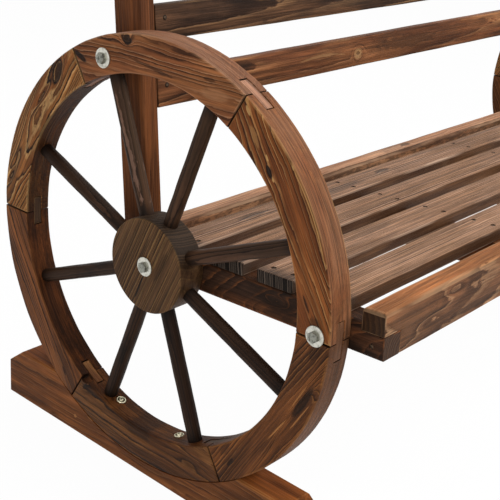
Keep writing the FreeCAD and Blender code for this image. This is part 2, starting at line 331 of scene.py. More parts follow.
class FirSheet(NodeSheet):
    """Node tree of one flamed piece: its finish, laid along its own grain."""

    def __init__(self, name: str, look: FlamedFir, grain: Grain) -> None:
        """Starts the tree with each point's place in the log and the fields that several parts use.

        Args:
            name: Name of the material.
            look: The finish.
            grain: How the piece lies in its log.
        """
        super().__init__(bpy.data.materials.new(name))
        self.look, self.grain = look, grain
        seen = self.add("TexCoord").node.outputs
        self.seen, self.normal = seen["Object"], seen["Normal"]
        turn = grain.turn
        shift = -(turn @ grain.centre) / MM
        self.place = self.add("Mapping", self.seen, shift, turn.to_euler("XYZ"), (1 / MM, 1 / MM, 1 / MM),
                              vector_type="POINT")
        self.fibre = self.cloud(Cloud.FIBRE)
        self.glow = self.cloud(Cloud.GLOW)
        flat = self.add("VectorMath:DOT_PRODUCT", self.normal, grain.face.normalized())
        self.sides = self.add("MapRange", self.add("Math:ABSOLUTE", flat), 0.7, 0.3, **SOFT)

    def cloud(self, kind: Cloud) -> Socket:
        """Adds a noise field that is drawn out along the fibres.

        Args:
            kind: Which field.

        Returns:
            Its value.
        """
        along, across, detail, rough, first = kind.value
        seeds = [self.grain.seed * share for share in (17.3, 7.1, 3.7)]
        moved = self.add("VectorMath:MULTIPLY_ADD", self.place, (along, across, across),
                         seeds[first:] + seeds[:first])
        return self.add("TexNoise", moved, 1.0, detail, rough)

    def nearness(self, mark: Mark) -> Socket:
        """Adds a value that is one in a mark's middle and falls to nothing round it.

        Args:
            mark: The mark.

        Returns:
            The value.
        """
        add, turn, length = self.add, math.radians(mark.turn), mark.stretch * mark.width
        c, s = math.cos(turn), math.sin(turn)
        off = add("VectorMath:SUBTRACT", self.place, (mark.along, mark.across, 0.0))
        u = add("VectorMath:DOT_PRODUCT", off, (c / length, s / length, 0.0))
        v = add("VectorMath:DOT_PRODUCT", off, (-s / mark.width, c / mark.width, 0.0))
        square = add("Math:MULTIPLY", u, u)
        if mark.bend:
            v = add("Math:MULTIPLY_ADD", square, -mark.bend / mark.width, v)
        return add("Math:EXPONENT", add("Math:MULTIPLY", add("Math:MULTIPLY_ADD", v, v, square), -1.0))

    def marked(self, radius: Socket) -> tuple:
        """Bends the rings round the marks.

        Args:
            radius: Distance from the log's heart, in mm.

        Returns:
            The bent distance, how much the rings show, and how dark and how pale the marks are.
        """
        add = self.add
        shown, dark, light = 1.0, 0.0, 0.0
        outline = self.cloud(Cloud.OUTLINE)
        for mark in self.grain.marks:
            near = self.nearness(mark)
            if mark.lift:
                radius = add("Math:MULTIPLY_ADD", near, mark.lift, radius)
            if mark.calm:
                shown = add("Math:MULTIPLY", shown, add("Math:MULTIPLY_ADD", near, -mark.calm, 1.0))
            core = add("Math:SUBTRACT", near, mark.ragged / 2)
            spot = add("MapRange", add("Math:MULTIPLY_ADD", outline, mark.ragged, core), 0.34, 0.6, **SOFT)
            if mark.dark:
                dark = add("Math:MULTIPLY_ADD", spot, mark.dark, dark, use_clamp=True)
            if mark.light:
                light = add("Math:MULTIPLY_ADD", spot, mark.light, light, use_clamp=True)
        return radius, shown, dark, light

    def rings(self) -> tuple:
        """Adds the year rings of the log, which wander and are uneven as a real tree's.

        Returns:
            Place within the ring from 0 to 1, number of rings from the heart, strength of this ring,
            and the marks' darkness and paleness.
        """
        add, grain, look = self.add, self.grain, self.look
        drift = self.cloud(Cloud.DRIFT).node.outputs["Color"]
        drift = add("VectorMath:SUBTRACT", drift, (0.5, 0.5, 0.5))
        moved = add("VectorMath:MULTIPLY_ADD", drift, (0.0, 2.4 * look.wander, 2.4 * look.wander), self.place)
        x, y, z = add("SeparateXYZ", moved).node.outputs
        depth = add("Math:MULTIPLY_ADD", x, grain.tilt, grain.pith_depth)
        side = add("Math:MULTIPLY_ADD", x, grain.sway, add("Math:SUBTRACT", y, grain.pith_side))
        radius = add("VectorMath:LENGTH", add("CombineXYZ", 0.0, side, add("Math:ADD", z, depth)))
        radius, shown, dark, light = self.marked(radius)
        # Good and poor years follow each other over about 11 mm and move a ring by up to 9 mm.
        uneven = add("TexNoise", add("Math:MULTIPLY", radius, 0.09), 1.0, 1.0, noise_dimensions="1D")
        radius = add("Math:MULTIPLY_ADD", uneven, 9.0, radius)
        turns = add("Math:MULTIPLY_ADD", self.cloud(Cloud.RAGS), 2.0 * look.torn,
                    add("Math:DIVIDE", radius, look.ring))
        year = add("TexWhiteNoise", add("Math:FLOOR", turns), noise_dimensions="1D")
        strength = add("Math:MULTIPLY", add("Math:MULTIPLY_ADD", year, 0.65, 0.5, use_clamp=True), look.line)
        return add("Math:FRACT", turns), turns, add("Math:MULTIPLY", strength, shown), dark, light

    def clear_wood(self, phase: Socket, turns: Socket, strength: Socket) -> Socket:
        """Adds the colour of the clear wood: soft wood, pale crests and dark lines; the pale crests
        are partly a painted highlight of the brushed relief.

        Args:
            phase: Place within the ring.
            turns: Number of rings from the heart.
            strength: Strength of this ring.

        Returns:
            The colour.
        """
        add, look = self.add, self.look
        late = linear(look.late)
        colour = add("Mix", add("MapRange", self.glow, 0.4, 0.62, **SOFT), linear(look.early),
                     linear(look.ember), **TINT)
        # Pale crest beside each dark line: partly paler wood, partly a painted highlight of the brushed
        # relief.
        crest = add("Math:MULTIPLY", add("MapRange", phase, 0.32, 0.03, **SOFT), look.crest)
        colour = add("Mix", add("Math:MULTIPLY", crest, strength), colour, linear(look.pale), **TINT)
        # Three fine lines to a ring stand for fibres, which would be too fine to show.
        part = add("Math:FRACT", add("Math:MULTIPLY", turns, 3.0))
        hair = add("Math:MULTIPLY", add("MapRange", part, 0.45, 0.9, **SOFT),
                   add("MapRange", part, 1.0, 0.92, **SOFT))
        hair = add("Math:MULTIPLY", add("Math:MULTIPLY", hair, look.hair), strength)
        colour = add("Mix", hair, colour, late, **TINT)
        line = add("Math:MULTIPLY", add("MapRange", phase, 1.0 - look.thick, 1.0 - 0.3 * look.thick, **SOFT),
                   add("MapRange", phase, 1.0, 0.96, **SOFT))
        return add("Mix", add("Math:MULTIPLY", line, strength), colour, late, **TINT)

    def streaked(self, colour: Socket) -> Socket:
        """Lightens and darkens the colour along the fibres.

        Args:
            colour: Colour so far.

        Returns:
            The colour.
        """
        add, look = self.add, self.look
        for cloud, depth in ((self.fibre, 0.9 * look.streak), (self.cloud(Cloud.STRAND), 0.7 * look.band)):
            level = add("MapRange", cloud, 0.36, 0.64, **SOFT)
            colour = add("VectorMath:SCALE", colour, add("Math:MULTIPLY_ADD", level, depth, 1.0 - depth / 2))
        return colour

    def facing(self, direction: Vector, low: float, high: float) -> Socket:
        """Adds the share of the surface that faces a direction.

        Args:
            direction: Unit vector in the bench's frame.
            low: Cosine at which the share is none.
            high: Cosine at which it is whole.

        Returns:
            The share.
        """
        turned = self.add("VectorMath:DOT_PRODUCT", self.normal, direction)
        return self.add("MapRange", turned, low, high, **SOFT)

    def planed_round(self) -> Socket:
        """Adds fine lines that the planer left round the wheel's axle, about 2 mm apart so that they show.

        Returns:
            Their brightness, from -0.4 to 0.36.
        """
        add = self.add
        x, y, z = add("SeparateXYZ", add("VectorMath:SUBTRACT", self.seen, self.grain.axle)).node.outputs
        turn = add("Math:MULTIPLY", add("Math:ARCTAN2", y, z), 2.2)
        lines = add("CombineXYZ", add("Math:MULTIPLY", x, 420.0), turn, self.grain.seed)
        lines = add("MapRange", add("TexNoise", lines, 1.0, 4.0, 0.7), 0.38, 0.62, **SOFT)
        return add("Math:MULTIPLY_ADD", lines, 0.76, -0.4)

    def narrow_sides(self, colour: Socket) -> Socket:
        """Gives the narrow sides, and the last stretch before the ends, their own tone, with painted
        shade and light on the sides by the way they face; at the spokes' ends it is char and painted shade.

        Args:
            colour: Colour so far.

        Returns:
            The colour.
        """
        add, grain = self.add, self.grain
        # The side tone: on the felloes a greyer, lighter tread, partly painted light; on the seat slats the
        # painted shade of the gap before each slat.
        if grain.side_tone_and_light:
            mask = add("Math:MULTIPLY_ADD", add("MapRange", self.glow, 0.35, 0.65, **SOFT), 0.5, 0.4)
            share = add("Math:MULTIPLY", self.facing(-grain.across, 0.45, 0.8), mask)
            colour = add("Mix", share, colour, linear(grain.side_tone_and_light), **TINT)
        if grain.axle is not None:
            level = add("Math:MULTIPLY_ADD", self.planed_round(), self.sides, 1.0)
            colour = add("VectorMath:SCALE", colour, level)
        # Painted shade: all the narrow sides are darkened by the factor around.
        if grain.around != 1.0:
            level = add("Math:MULTIPLY_ADD", self.sides, grain.around - 1.0, 1.0)
            colour = add("VectorMath:SCALE", colour, level)
        # Painted shade and light: each narrow side is darkened below one and lightened above one, by the way
        # it faces, with a warm tint.
        for direction, shade in ((-grain.across, grain.before), (grain.across, grain.behind)):
            if shade != 1.0:
                warm = add("VectorMath:MULTIPLY", colour, (1.06 * shade, 0.94 * shade, 0.78 * shade))
                colour = add("Mix", self.facing(direction, 0.45, 0.85), colour, warm, **TINT)
        # The ends darken towards the char colour; at the spokes this is partly char and partly painted shade
        # where they meet hub and rim.
        if grain.reach:
            off = add("Math:ABSOLUTE", add("SeparateXYZ", self.place))
            share = add("Math:MULTIPLY", add("MapRange", off, grain.reach, grain.reach + 25.0, **SOFT), 0.75)
            colour = add("Mix", share, colour, linear(self.look.char), **TINT)
        return colour

    def end_grain(self, colour: Socket, phase: Socket) -> Socket:
        """Lays the dark end grain, with its paler rings, over the ends.

        Args:
            colour: Colour so far.
            phase: Place within the ring.

        Returns:
            The colour.
        """
        add, look = self.add, self.look
        turned = add("VectorMath:DOT_PRODUCT", self.normal, self.grain.along.normalized())
        share = add("MapRange", add("Math:ABSOLUTE", turned), 0.4, 0.85, **SOFT)
        rings = add("Mix", add("MapRange", phase, 0.12, 0.6, **SOFT), linear(look.end_pale),
                    linear(look.end_dark), **TINT)
        return add("Mix", add("Math:MULTIPLY", share, 0.95), colour, rings, **TINT)

    def relief(self, phase: Socket, strength: Socket, dark: Socket) -> Socket:
        """Adds the brushed relief: high at a ring's crest, low at its dark line and where it is charred.

        Args:
            phase: Place within the ring.
            strength: Strength of this ring.
            dark: How charred the wood is.

        Returns:
            The bent normal.
        """
        add = self.add
        ridge = add("Math:MULTIPLY", add("MapRange", phase, 0.95, 0.1, **SOFT),
                    add("MapRange", phase, 0.0, 0.06, **SOFT))
        height = add("Math:MULTIPLY_ADD", self.fibre, 0.9, add("Math:MULTIPLY", ridge, strength))
        height = add("Math:MULTIPLY_ADD", dark, -0.3, height)
        return add("Bump", {"Height": height, "Strength": 1.0, "Distance": self.look.relief * MM})

    def dressed(self) -> bpy.types.Material:
        """Puts the whole finish together.

        Returns:
            The material.
        """
        add, look = self.add, self.look
        phase, turns, strength, dark, light = self.rings()
        patch = add("MapRange", self.cloud(Cloud.PATCH), 0.36, 0.56, **SOFT)
        for share, change, least in ((patch, look.plain, 1.0 - look.plain), (self.sides, -0.75, 1.0)):
            strength = add("Math:MULTIPLY", strength, add("Math:MULTIPLY_ADD", share, change, least))
        scorch = add("MapRange", self.cloud(Cloud.FLAME), 0.74 - 0.4 * look.burn, 0.9 - 0.38 * look.burn,
                     **SOFT)
        dark = add("Math:MAXIMUM", add("Math:MULTIPLY", scorch, 0.8), dark)
        colour = self.streaked(self.clear_wood(phase, turns, strength))
        colour = add("Mix", light, colour, linear(look.pale), **TINT)
        char = add("Math:MULTIPLY", dark, add("Math:MULTIPLY_ADD", self.fibre, 0.5, 0.7), use_clamp=True)
        colour = add("Mix", char, colour, linear(look.char), **TINT)
        colour = self.end_grain(self.narrow_sides(colour), phase)
        # Pale arrises: partly wear, partly a painted highlight on the rounded edges.
        mask = add("Attribute", attribute_name="worn_arris").node.outputs["Fac"]
        pale_arris = add("Math:MULTIPLY", mask, add("MapRange", self.glow, 0.42, 0.6, **SOFT))
        colour = add("Mix", add("Math:MULTIPLY", pale_arris, look.wear_and_gleam), colour, linear(look.pale), **TINT)
        rough = add("Math:MULTIPLY_ADD", self.fibre, 0.2, look.rough - 0.1)
        return self.finish("OutputMaterial", add("BsdfPrincipled", {
            "Base Color": colour, "Roughness": rough, "Metallic": 0.0, "IOR": 1.46,
            "Specular IOR Level": 0.1, "Normal": self.relief(phase, strength, dark)}))


@dataclass(frozen=True)
class PlatedSteel:
    """Zinc-plated or stained steel of the fasteners, handled and a little dulled.

    The plating gives a bright grey gleam, and cloudy dull spots about 4 mm wide break it up.

    Attributes:
        colour: Colour of the plating.
        dull: Colour of the dulled places.
        rough: Roughness of the bright plating.
    """

    colour: str = "#D8D8D2"
    dull: str = "#8C8B84"
    rough: float = 0.28

    def material(self, name: str) -> bpy.types.Material:
        """Makes the finish.

        Args:
            name: Name of the material.

        Returns:
            The material.
        """
        sheet = NodeSheet(bpy.data.materials.new(name))
        cloud = sheet.add("TexNoise", sheet.add("TexCoord").node.outputs["Object"], 260.0, 4.0, 0.6)
        spots = sheet.add("MapRange", cloud, 0.42, 0.72, **SOFT)
        colour = sheet.add("Mix", spots, linear(self.colour), linear(self.dull), **TINT)
        rough = sheet.add("Math:MULTIPLY_ADD", spots, 0.25, self.rough)
        bump = sheet.add("Bump", {"Height": cloud, "Strength": 0.25, "Distance": 0.1 * MM})
        return sheet.finish("OutputMaterial", sheet.add("BsdfPrincipled", {
            "Base Color": colour, "Metallic": 1.0, "Roughness": rough, "Normal": bump}))


@dataclass(frozen=True)
class StudioWhite:
    """Matt white studio paper, and a white room, that keep a faint shadow.

    Attributes:
        colour: Colour of the paper.
        glow: Share of plain white that the camera and gloss see on the paper.
        sky: Strength of the room's light on the bench.
    """

    colour: str = "#FFFFFF"
    glow: float = 0.97
    sky: float = 0.22

    def seen(self, sheet: NodeSheet, least: float) -> Socket:
        """Adds a level that is one for the camera and in gloss or glass.

        Args:
            sheet: Node tree to add to.
            least: Level in all other light.

        Returns:
            The level.
        """
        path = sheet.add("LightPath").node.outputs
        level = sheet.add("Math:MAXIMUM", path["Is Camera Ray"], path["Is Glossy Ray"])
        level = sheet.add("Math:MAXIMUM", level, path["Is Transmission Ray"])
        return sheet.add("Math:MAXIMUM", level, least)

    def material(self, name: str) -> bpy.types.Material:
        """Makes the paper.

        Args:
            name: Name of the material.

        Returns:
            The material.
        """
        sheet = NodeSheet(bpy.data.materials.new(name))
        paper = sheet.add("BsdfDiffuse", linear(self.colour))
        white = sheet.add("Emission", (1, 1, 1, 1), 1.0)
        share = sheet.add("Math:MULTIPLY", self.seen(sheet, 0.0), self.glow)
        return sheet.finish("OutputMaterial", sheet.add("MixShader", share, paper, white))

    def room(self, name: str) -> bpy.types.World:
        """Makes the room round the paper.

        Args:
            name: Name of the world.

        Returns:
            The world.
        """
        sheet = NodeSheet(bpy.data.worlds.new(name))
        return sheet.finish("OutputWorld", sheet.add("Background", (1, 1, 1, 1), self.seen(sheet, self.sky)))


# Mesh helpers

class Side(Enum):
    """Left or right end of the bench, with the sign of its X."""

    LEFT = -1
    RIGHT = 1


@dataclass(frozen=True)
class WheelFrame:
    """Frame of one wheel: x inward from its outer face, y to the back, z up from the axle.

    Attributes:
        side: End of the bench that the wheel is on.
        half: Half of the bench's length between the wheels' outer faces, in metres.
        depth: Y of the axle in the bench's frame, in metres.
        height: Z of the axle in the bench's frame, in metres.
    """

    side: Side
    half: float
    depth: float
    height: float

    @property
    def matrix(self) -> Matrix:
        """Leads from millimetres in this frame to metres in the bench's frame.

        Returns:
            The matrix.
        """
        sign = self.side.value
        shift = Matrix.Translation((sign * self.half, self.depth, self.height))
        return shift @ Matrix.Diagonal((-sign * MM, MM, MM, 1.0))


@dataclass(frozen=True)
class LeaningFrame:
    """Frame that leans back about the axle: x from the bench's middle, y to the back, z up, in mm.

    Attributes:
        lean: How far it leans back, in degrees.
        depth: Y of the axle in the bench's frame, in metres.
        height: Z of the axle in the bench's frame, in metres.
    """

    lean: float
    depth: float
    height: float

    @property
    def matrix(self) -> Matrix:
        """Matrix from millimetres in this frame to metres in the bench's frame."""
        shift = Matrix.Translation((0.0, self.depth, self.height))
        return shift @ Matrix.Rotation(math.radians(-self.lean), 4, "X") @ Matrix.Scale(MM, 4)


def turned(matrix: Matrix, direction: Triple) -> Vector:
    """Turns a frame's direction into a unit vector of the bench's frame.

    Args:
        matrix: Matrix of the frame.
        direction: Direction in the frame.

    Returns:
        The unit vector.
    """
    return (matrix.to_3x3() @ Vector(direction)).normalized()


def aimed(direction: Vector) -> Matrix:
    """Rotation that turns Z to a direction."""
    return direction.to_track_quat("Z", "X").to_matrix().to_4x4()


def rim_direction(angle: float) -> Vector:
    """Unit vector from the hub at an angle in degrees, measured upwards from the front."""
    turn = math.radians(angle)
    return Vector((0.0, -math.cos(turn), math.sin(turn)))


def rod(radius: float, length: float, sides: int, top: float = 0.0) -> Mesh:
    """Makes a round or many-sided rod along Z, with its middle at the origin.

    Args:
        radius: Radius in mm.
        length: Length in mm.
        sides: Number of sides.
        top: Radius of the upper end, if it differs.

    Returns:
        The mesh.
    """
    bm = bmesh.new()
    bmesh.ops.create_cone(bm, cap_ends=True, cap_tris=False, segments=sides, radius1=radius,
                          radius2=top or radius, depth=length)
    return bm


def cut_across(bm: Mesh, axis: Vector, start: float, stop: float, count: int) -> None:
    """Cuts a mesh into even lengths, so that it can be bent or turned.

    Args:
        bm: The mesh.
        axis: Unit vector along which the lengths lie.
        start: Level at which the first length starts, in mm.
        stop: Level at which the last one ends, in mm.
        count: Number of lengths.
    """
    for level in range(1, count):
        place = axis * (start + (stop - start) * level / count)
        bmesh.ops.bisect_plane(bm, geom=[*bm.verts, *bm.edges, *bm.faces], plane_co=place, plane_no=axis)


def rim_section(bm: Mesh, angle: float, depths: tuple[float, float],
                radii: tuple[float, float]) -> bmesh.types.BMFace:
    """Adds one face of the rim's section.

    Args:
        bm: Mesh to add to.
        angle: Place on the rim, in degrees.
        depths: The face's x in the wheel's frame, from and to.
        radii: Its distance from the axle, from and to.

    Returns:
        The face.
    """
    out = rim_direction(angle)
    (near, far), (inner, outer) = depths, radii
    corners = ((near, inner), (far, inner), (far, outer), (near, outer))
    return bm.faces.new([bm.verts.new(out * r + Vector((x, 0, 0))) for x, r in corners])


def sweep(bm: Mesh, faces: list, degrees: float, steps: int) -> list:
    """Sweeps faces of the rim's section upwards round the axle.

    Args:
        bm: Mesh that holds the faces.
        faces: The faces.
        degrees: Angle of the sweep.
        steps: Number of steps in it.

    Returns:
        The faces at its end.
    """
    geometry = faces + [e for f in faces for e in f.edges] + [v for f in faces for v in f.verts]
    made = bmesh.ops.spin(bm, geom=list(dict.fromkeys(geometry)), cent=(0, 0, 0), axis=(-1, 0, 0),
                          angle=math.radians(degrees), steps=steps, dvec=(0, 0, 0), use_merge=False,
                          use_duplicate=False)
    return [g for g in made["geom_last"] if isinstance(g, bmesh.types.BMFace)]


def ease(bm: Mesh, edges: list, width: float, segments: int = 3) -> None:
    """Rounds edges over, and marks the new faces for the pale arrises, partly wear and partly
    painted highlight.

    Args:
        bm: The mesh.
        edges: Edges to round.
        width: Width of the rounding, in the mesh's own unit.
        segments: Number of faces across it.
    """
    layer = bm.faces.layers.float.get("worn_arris") or bm.faces.layers.float.new("worn_arris")
    made = bmesh.ops.bevel(bm, geom=edges, offset=width, offset_type="OFFSET", affect="EDGES",
                           segments=segments, profile=0.5, material=-1, clamp_overlap=True)
    for face in made["faces"]:
        face[layer] = 1.0


def corner_edges(bm: Mesh, least: float = 35.0) -> list:
    """Edges where two faces meet at more than an angle in degrees."""
    return [e for e in bm.edges if len(e.link_faces) == 2 and e.calc_face_angle() > math.radians(least)]


def wander(bm: Mesh, amount: float, scale: float, seed: float) -> None:
    """Moves every vertex a little, as planed and flamed wood is never quite true.

    Args:
        bm: The mesh, in millimetres.
        amount: Largest movement, in mm.
        scale: Noise frequency, per mm.
        seed: Place in the noise field.
    """
    for vert in bm.verts:
        vert.co += noise.noise_vector(vert.co * scale + Vector((seed, seed, seed))) * amount


def joined(parts: list[Mesh]) -> Mesh:
    """Puts several meshes into one.

    Args:
        parts: The meshes, which are freed.

    Returns:
        The whole mesh.
    """
    whole = bmesh.new()
    for part in parts:
        mesh = bpy.data.meshes.new("part")
        part.to_mesh(mesh)
        part.free()
        whole.from_mesh(mesh)
        bpy.data.meshes.remove(mesh)
    return whole


def placed(bm: Mesh, matrix: Matrix) -> Mesh:
    """Moves a mesh to its place and returns it."""
    bmesh.ops.transform(bm, matrix=matrix, verts=bm.verts)
    return bm


def finished(bm: Mesh, name: str, matrix: Matrix | None = None) -> Piece:
    """Places a mesh, turns its faces outwards and makes it an object at the origin.

    Args:
        bm: The mesh, which is freed.
        name: Name of the piece.
        matrix: From the mesh's own frame to the bench's frame, if they differ.

    Returns:
        The object.
    """
    placed(bm, matrix or Matrix.Identity(4))
    bmesh.ops.remove_doubles(bm, verts=bm.verts, dist=1e-6)
    bmesh.ops.recalc_face_normals(bm, faces=bm.faces)
    mesh = bpy.data.meshes.new(name)
    bm.to_mesh(mesh)
    bm.free()
    mesh.shade_smooth()
    mesh.set_sharp_from_angle(angle=SHARP)
    piece = bpy.data.objects.new(name, mesh)
    bpy.context.scene.collection.objects.link(piece)
    return piece


def drilled(piece: Piece, drills: Mesh) -> None:
    """Cuts holes into a finished piece.

    Args:
        piece: The object that gets the holes.
        drills: Their shapes, which are freed.
    """
    mesh = bpy.data.meshes.new("drill")
    drills.to_mesh(mesh)
    drills.free()
    drill = bpy.data.objects.new("drill", mesh)
    bpy.context.scene.collection.objects.link(drill)
    cut = piece.modifiers.new("holes", "BOOLEAN")
    cut.operation, cut.solver, cut.object = "DIFFERENCE", "EXACT", drill
    bpy.context.view_layer.update()
    result = bpy.data.meshes.new_from_object(piece.evaluated_get(bpy.context.evaluated_depsgraph_get()))
    piece.modifiers.clear()
    old, piece.data = piece.data, result
    bpy.data.objects.remove(drill)
    bpy.data.meshes.remove(mesh)
    bpy.data.meshes.remove(old)
    result.set_sharp_from_angle(angle=SHARP)


def dress(piece: Piece, material: bpy.types.Material, slot: str, *nodes: str) -> None:
    """Gives a piece its material and body, and hides the nodes it stands for.

    Args:
        piece: The object.
        material: Its material.
        slot: The record's material slot; not used.
        nodes: CAD nodes that it replaces.
    """
    piece.data.materials.clear()
    piece.data.materials.append(material)
    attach(piece, "root")
    if nodes:
        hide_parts(*nodes)
    log.info("%s: %d faces", piece.name, len(piece.data.polygons))


# Wheels

@dataclass
class Wheel:
    """One cart wheel: six felloes with loose tongues, eight spokes and a hub.

    Attributes:
        frame: Frame of the wheel.
        spoke_look: Finish of the spokes.
        hub_look: Finish of the hub.
        radius: Outer radius of the rim.
        rim_depth: Depth of the rim towards the hub.
        thickness: Thickness of the rim and the hub along the axle.
        joints: Number of felloes, and so of joints and tongues.
        first_joint: Angle of the joint at the front bolt, in degrees.
        joint_gap: Width of each joint.
        tongue_length: Length of a tongue's slot along the rim.
        tongue_thickness: Width of the slot along the axle.
        slacks: Room round the tongue of each joint.
        tongue_tones: Early and ember colour of each tongue; the third is dark, which paints the shade of
        the inner rim at the back where it shows.
        arris: Rounding of the rim's edges.
        hub_radius: Radius of the hub.
        hub_proud: How far the hub's outer face stands before the rim's.
        spoke_radius: Radius of a spoke.
        spoke_lets: Depths that a spoke is let into the hub and into the rim.
        spoke_angles: Angles of the spokes, in degrees.
        chip_angle: Angle of the chip from the first joint, in degrees.
        chip_size: Half the chip's depth, width and length.
        chip_in: Distance of the chip's middle from the rim's outer face.
    """

    frame: WheelFrame
    spoke_look: FlamedFir
    hub_look: FlamedFir
    radius: float = 300.0
    rim_depth: float = 50.0
    thickness: float = 40.0
    joints: int = 6
    first_joint: float = 0.66
    joint_gap: float = 1.3
    tongue_length: float = 46.0
    tongue_thickness: float = 14.0
    slacks: tuple[float, ...] = (0.55, 0.3, 0.5, 1.2, 0.3, 0.12)
    tongue_tones: tuple[tuple[str, str], ...] = (
        ("#A47860", "#B0856C"), ("#8E6650", "#97705A"), ("#36251A", "#3F2C1F"),
        ("#744A2E", "#A87648"), ("#4A3322", "#553B28"), ("#6E4A34", "#7C553C"))
    arris: float = 2.4
    hub_radius: float = 65.0
    hub_proud: float = 2.0
    spoke_radius: float = 10.0
    spoke_lets: tuple[float, float] = (17.0, 11.0)
    spoke_angles: tuple[float, ...] = (23.66, 70.66, 110.66, 157.66, 203.66, 250.66, 290.66, 337.66)
    chip_angle: float = 241.4
    chip_size: Triple = (8.0, 12.0, 7.5)
    chip_in: float = 4.5

    @property
    def label(self) -> str:
        """Left or right, as in the nodes' names."""
        return self.frame.side.name.lower()

    def joint(self, number: float) -> float:
        """Angle of the joint after a felloe, in degrees."""
        return self.first_joint + 360.0 / self.joints * number

    def grain(self, middle: Vector, along: Triple, face: Triple = (-1.0, 0.0, 0.0), **settings) -> Grain:
        """Lays a piece of the wheel in its log.

        Args:
            middle: Middle of the piece in the wheel's frame, in mm; its x is the rim's middle.
            along: Direction of the fibres in the wheel's frame.
            face: Direction of the show face in it.
            settings: Other values of the grain.

        Returns:
            The grain.
        """
        matrix = self.frame.matrix
        return Grain(centre=matrix @ Vector((self.thickness / 2, middle.y, middle.z)),
                     along=turned(matrix, along), face=turned(matrix, face), **settings)

    def felloe(self, number: int) -> Piece:
        """Builds a felloe with a slot for a tongue in each end.

        Args:
            number: Place on the rim from 1 to 6, upwards from the front joint.

        Returns:
            The felloe.
        """
        radii = (self.radius - self.rim_depth, self.radius)
        gap, slot = (math.degrees(length / sum(radii)) for length in (self.joint_gap, self.tongue_length))
        start, stop = self.joint(number - 1) + gap, self.joint(number) - gap
        lip = (self.thickness - self.tongue_thickness) / 2
        steps = (0.0, lip, self.thickness - lip, self.thickness)
        bm = bmesh.new()
        lips = [rim_section(bm, start, steps[:2], radii), rim_section(bm, start, steps[2:], radii)]
        lips = sweep(bm, lips, slot, 3)
        core = rim_section(bm, start + slot, steps[1:3], radii)
        bmesh.ops.remove_doubles(bm, verts=bm.verts, dist=1e-3)
        row = [f for f in lips if f.is_valid] + [core]
        row = sweep(bm, row, stop - start - 2 * slot, 18)
        sweep(bm, [f for f in row if not steps[1] < f.calc_center_median().x < steps[2]], slot, 3)
        bmesh.ops.holes_fill(bm, edges=[e for e in bm.edges if e.is_boundary], sides=4)
        bmesh.ops.recalc_face_normals(bm, faces=bm.faces)
        ease(bm, [e for e in corner_edges(bm)
                  if any(all(abs(v.co.x - face) < 0.01 for v in e.verts) for face in (0.0, self.thickness))],
             self.arris)
        wander(bm, 0.5, 0.03, 11.0 * number + self.frame.side.value)
        return finished(bm, f"{self.label}_felloe_{number}_wood", self.frame.matrix)

    def chip(self) -> Mesh:
        """Makes the shape of the splinter that has broken out of the inner arris at the loose joint.

        Returns:
            The shape, in metres.
        """
        bm = bmesh.new()
        bmesh.ops.create_icosphere(bm, subdivisions=3, radius=1.0)
        for vert in bm.verts:
            vert.co *= 1.0 + 0.25 * noise.noise(vert.co * 1.7)
        out = rim_direction(self.joint(0) + self.chip_angle)
        shift = Matrix.Translation(out * (self.radius - self.rim_depth) + Vector((self.chip_in, 0, 0)))
        return placed(bm, self.frame.matrix @ shift @ aimed(out) @ Matrix.Diagonal((*self.chip_size, 1.0)))

    def tongue(self, number: int) -> Piece:
        """Builds the loose tongue in the joint after a felloe, nearly flush with the rim.

        Args:
            number: The felloe's number, from 1 to 6.

        Returns:
            The tongue.
        """
        slack = self.slacks[number - 1]
        radii = (self.radius - self.rim_depth + 0.6, self.radius - 0.5)
        reach = math.degrees((self.tongue_length - 3.2 * slack) / sum(radii))
        lip = (self.thickness - self.tongue_thickness) / 2 + slack
        bm = bmesh.new()
        section = rim_section(bm, self.joint(number) - reach, (lip, self.thickness - lip), radii)
        sweep(bm, [section], 2 * reach, 8)
        bmesh.ops.recalc_face_normals(bm, faces=bm.faces)
        ease(bm, corner_edges(bm), 0.5, 2)
        return finished(bm, f"{self.label}_tongue_{number}_wood", self.frame.matrix)

    def spoke(self, number: int, out: Vector) -> Piece:
        """Builds one turned spoke, slightly tapered to both ends.

        Args:
            number: The spoke's number, from 1 to 8.
            out: Its direction from the hub.

        Returns:
            The spoke.
        """
        start, stop = self.hub_radius - self.spoke_lets[0], self.radius - self.rim_depth + self.spoke_lets[1]
        half = (stop - start) / 2
        bm = rod(self.spoke_radius, stop - start, 28)
        cut_across(bm, Vector((0, 0, 1)), -half, half, 14)
        for vert in bm.verts:
            squeeze = 1.0 - 0.1 * max(0.0, abs(vert.co.z) / half - 0.6)
            vert.co.xy *= squeeze
        wander(bm, 0.35, 0.05, 5.0 * number)
        shift = Matrix.Translation(out * (start + half) + Vector((self.thickness / 2, 0, 0)))
        return finished(bm, f"{self.label}_spoke_{number}_wood", self.frame.matrix @ shift @ aimed(out))

    def hub(self) -> Piece:
        """Builds the hub with its eased front and back arris.

        Returns:
            The hub.
        """
        bm = rod(self.hub_radius, self.thickness + self.hub_proud, 96)
        ease(bm, corner_edges(bm), 2.0, 4)
        turn = Matrix.Rotation(math.radians(90), 4, "Y")
        shift = Matrix.Translation(((self.thickness - self.hub_proud) / 2, 0, 0))
        return finished(bm, f"{self.label}_hub_wood", self.frame.matrix @ shift @ turn)

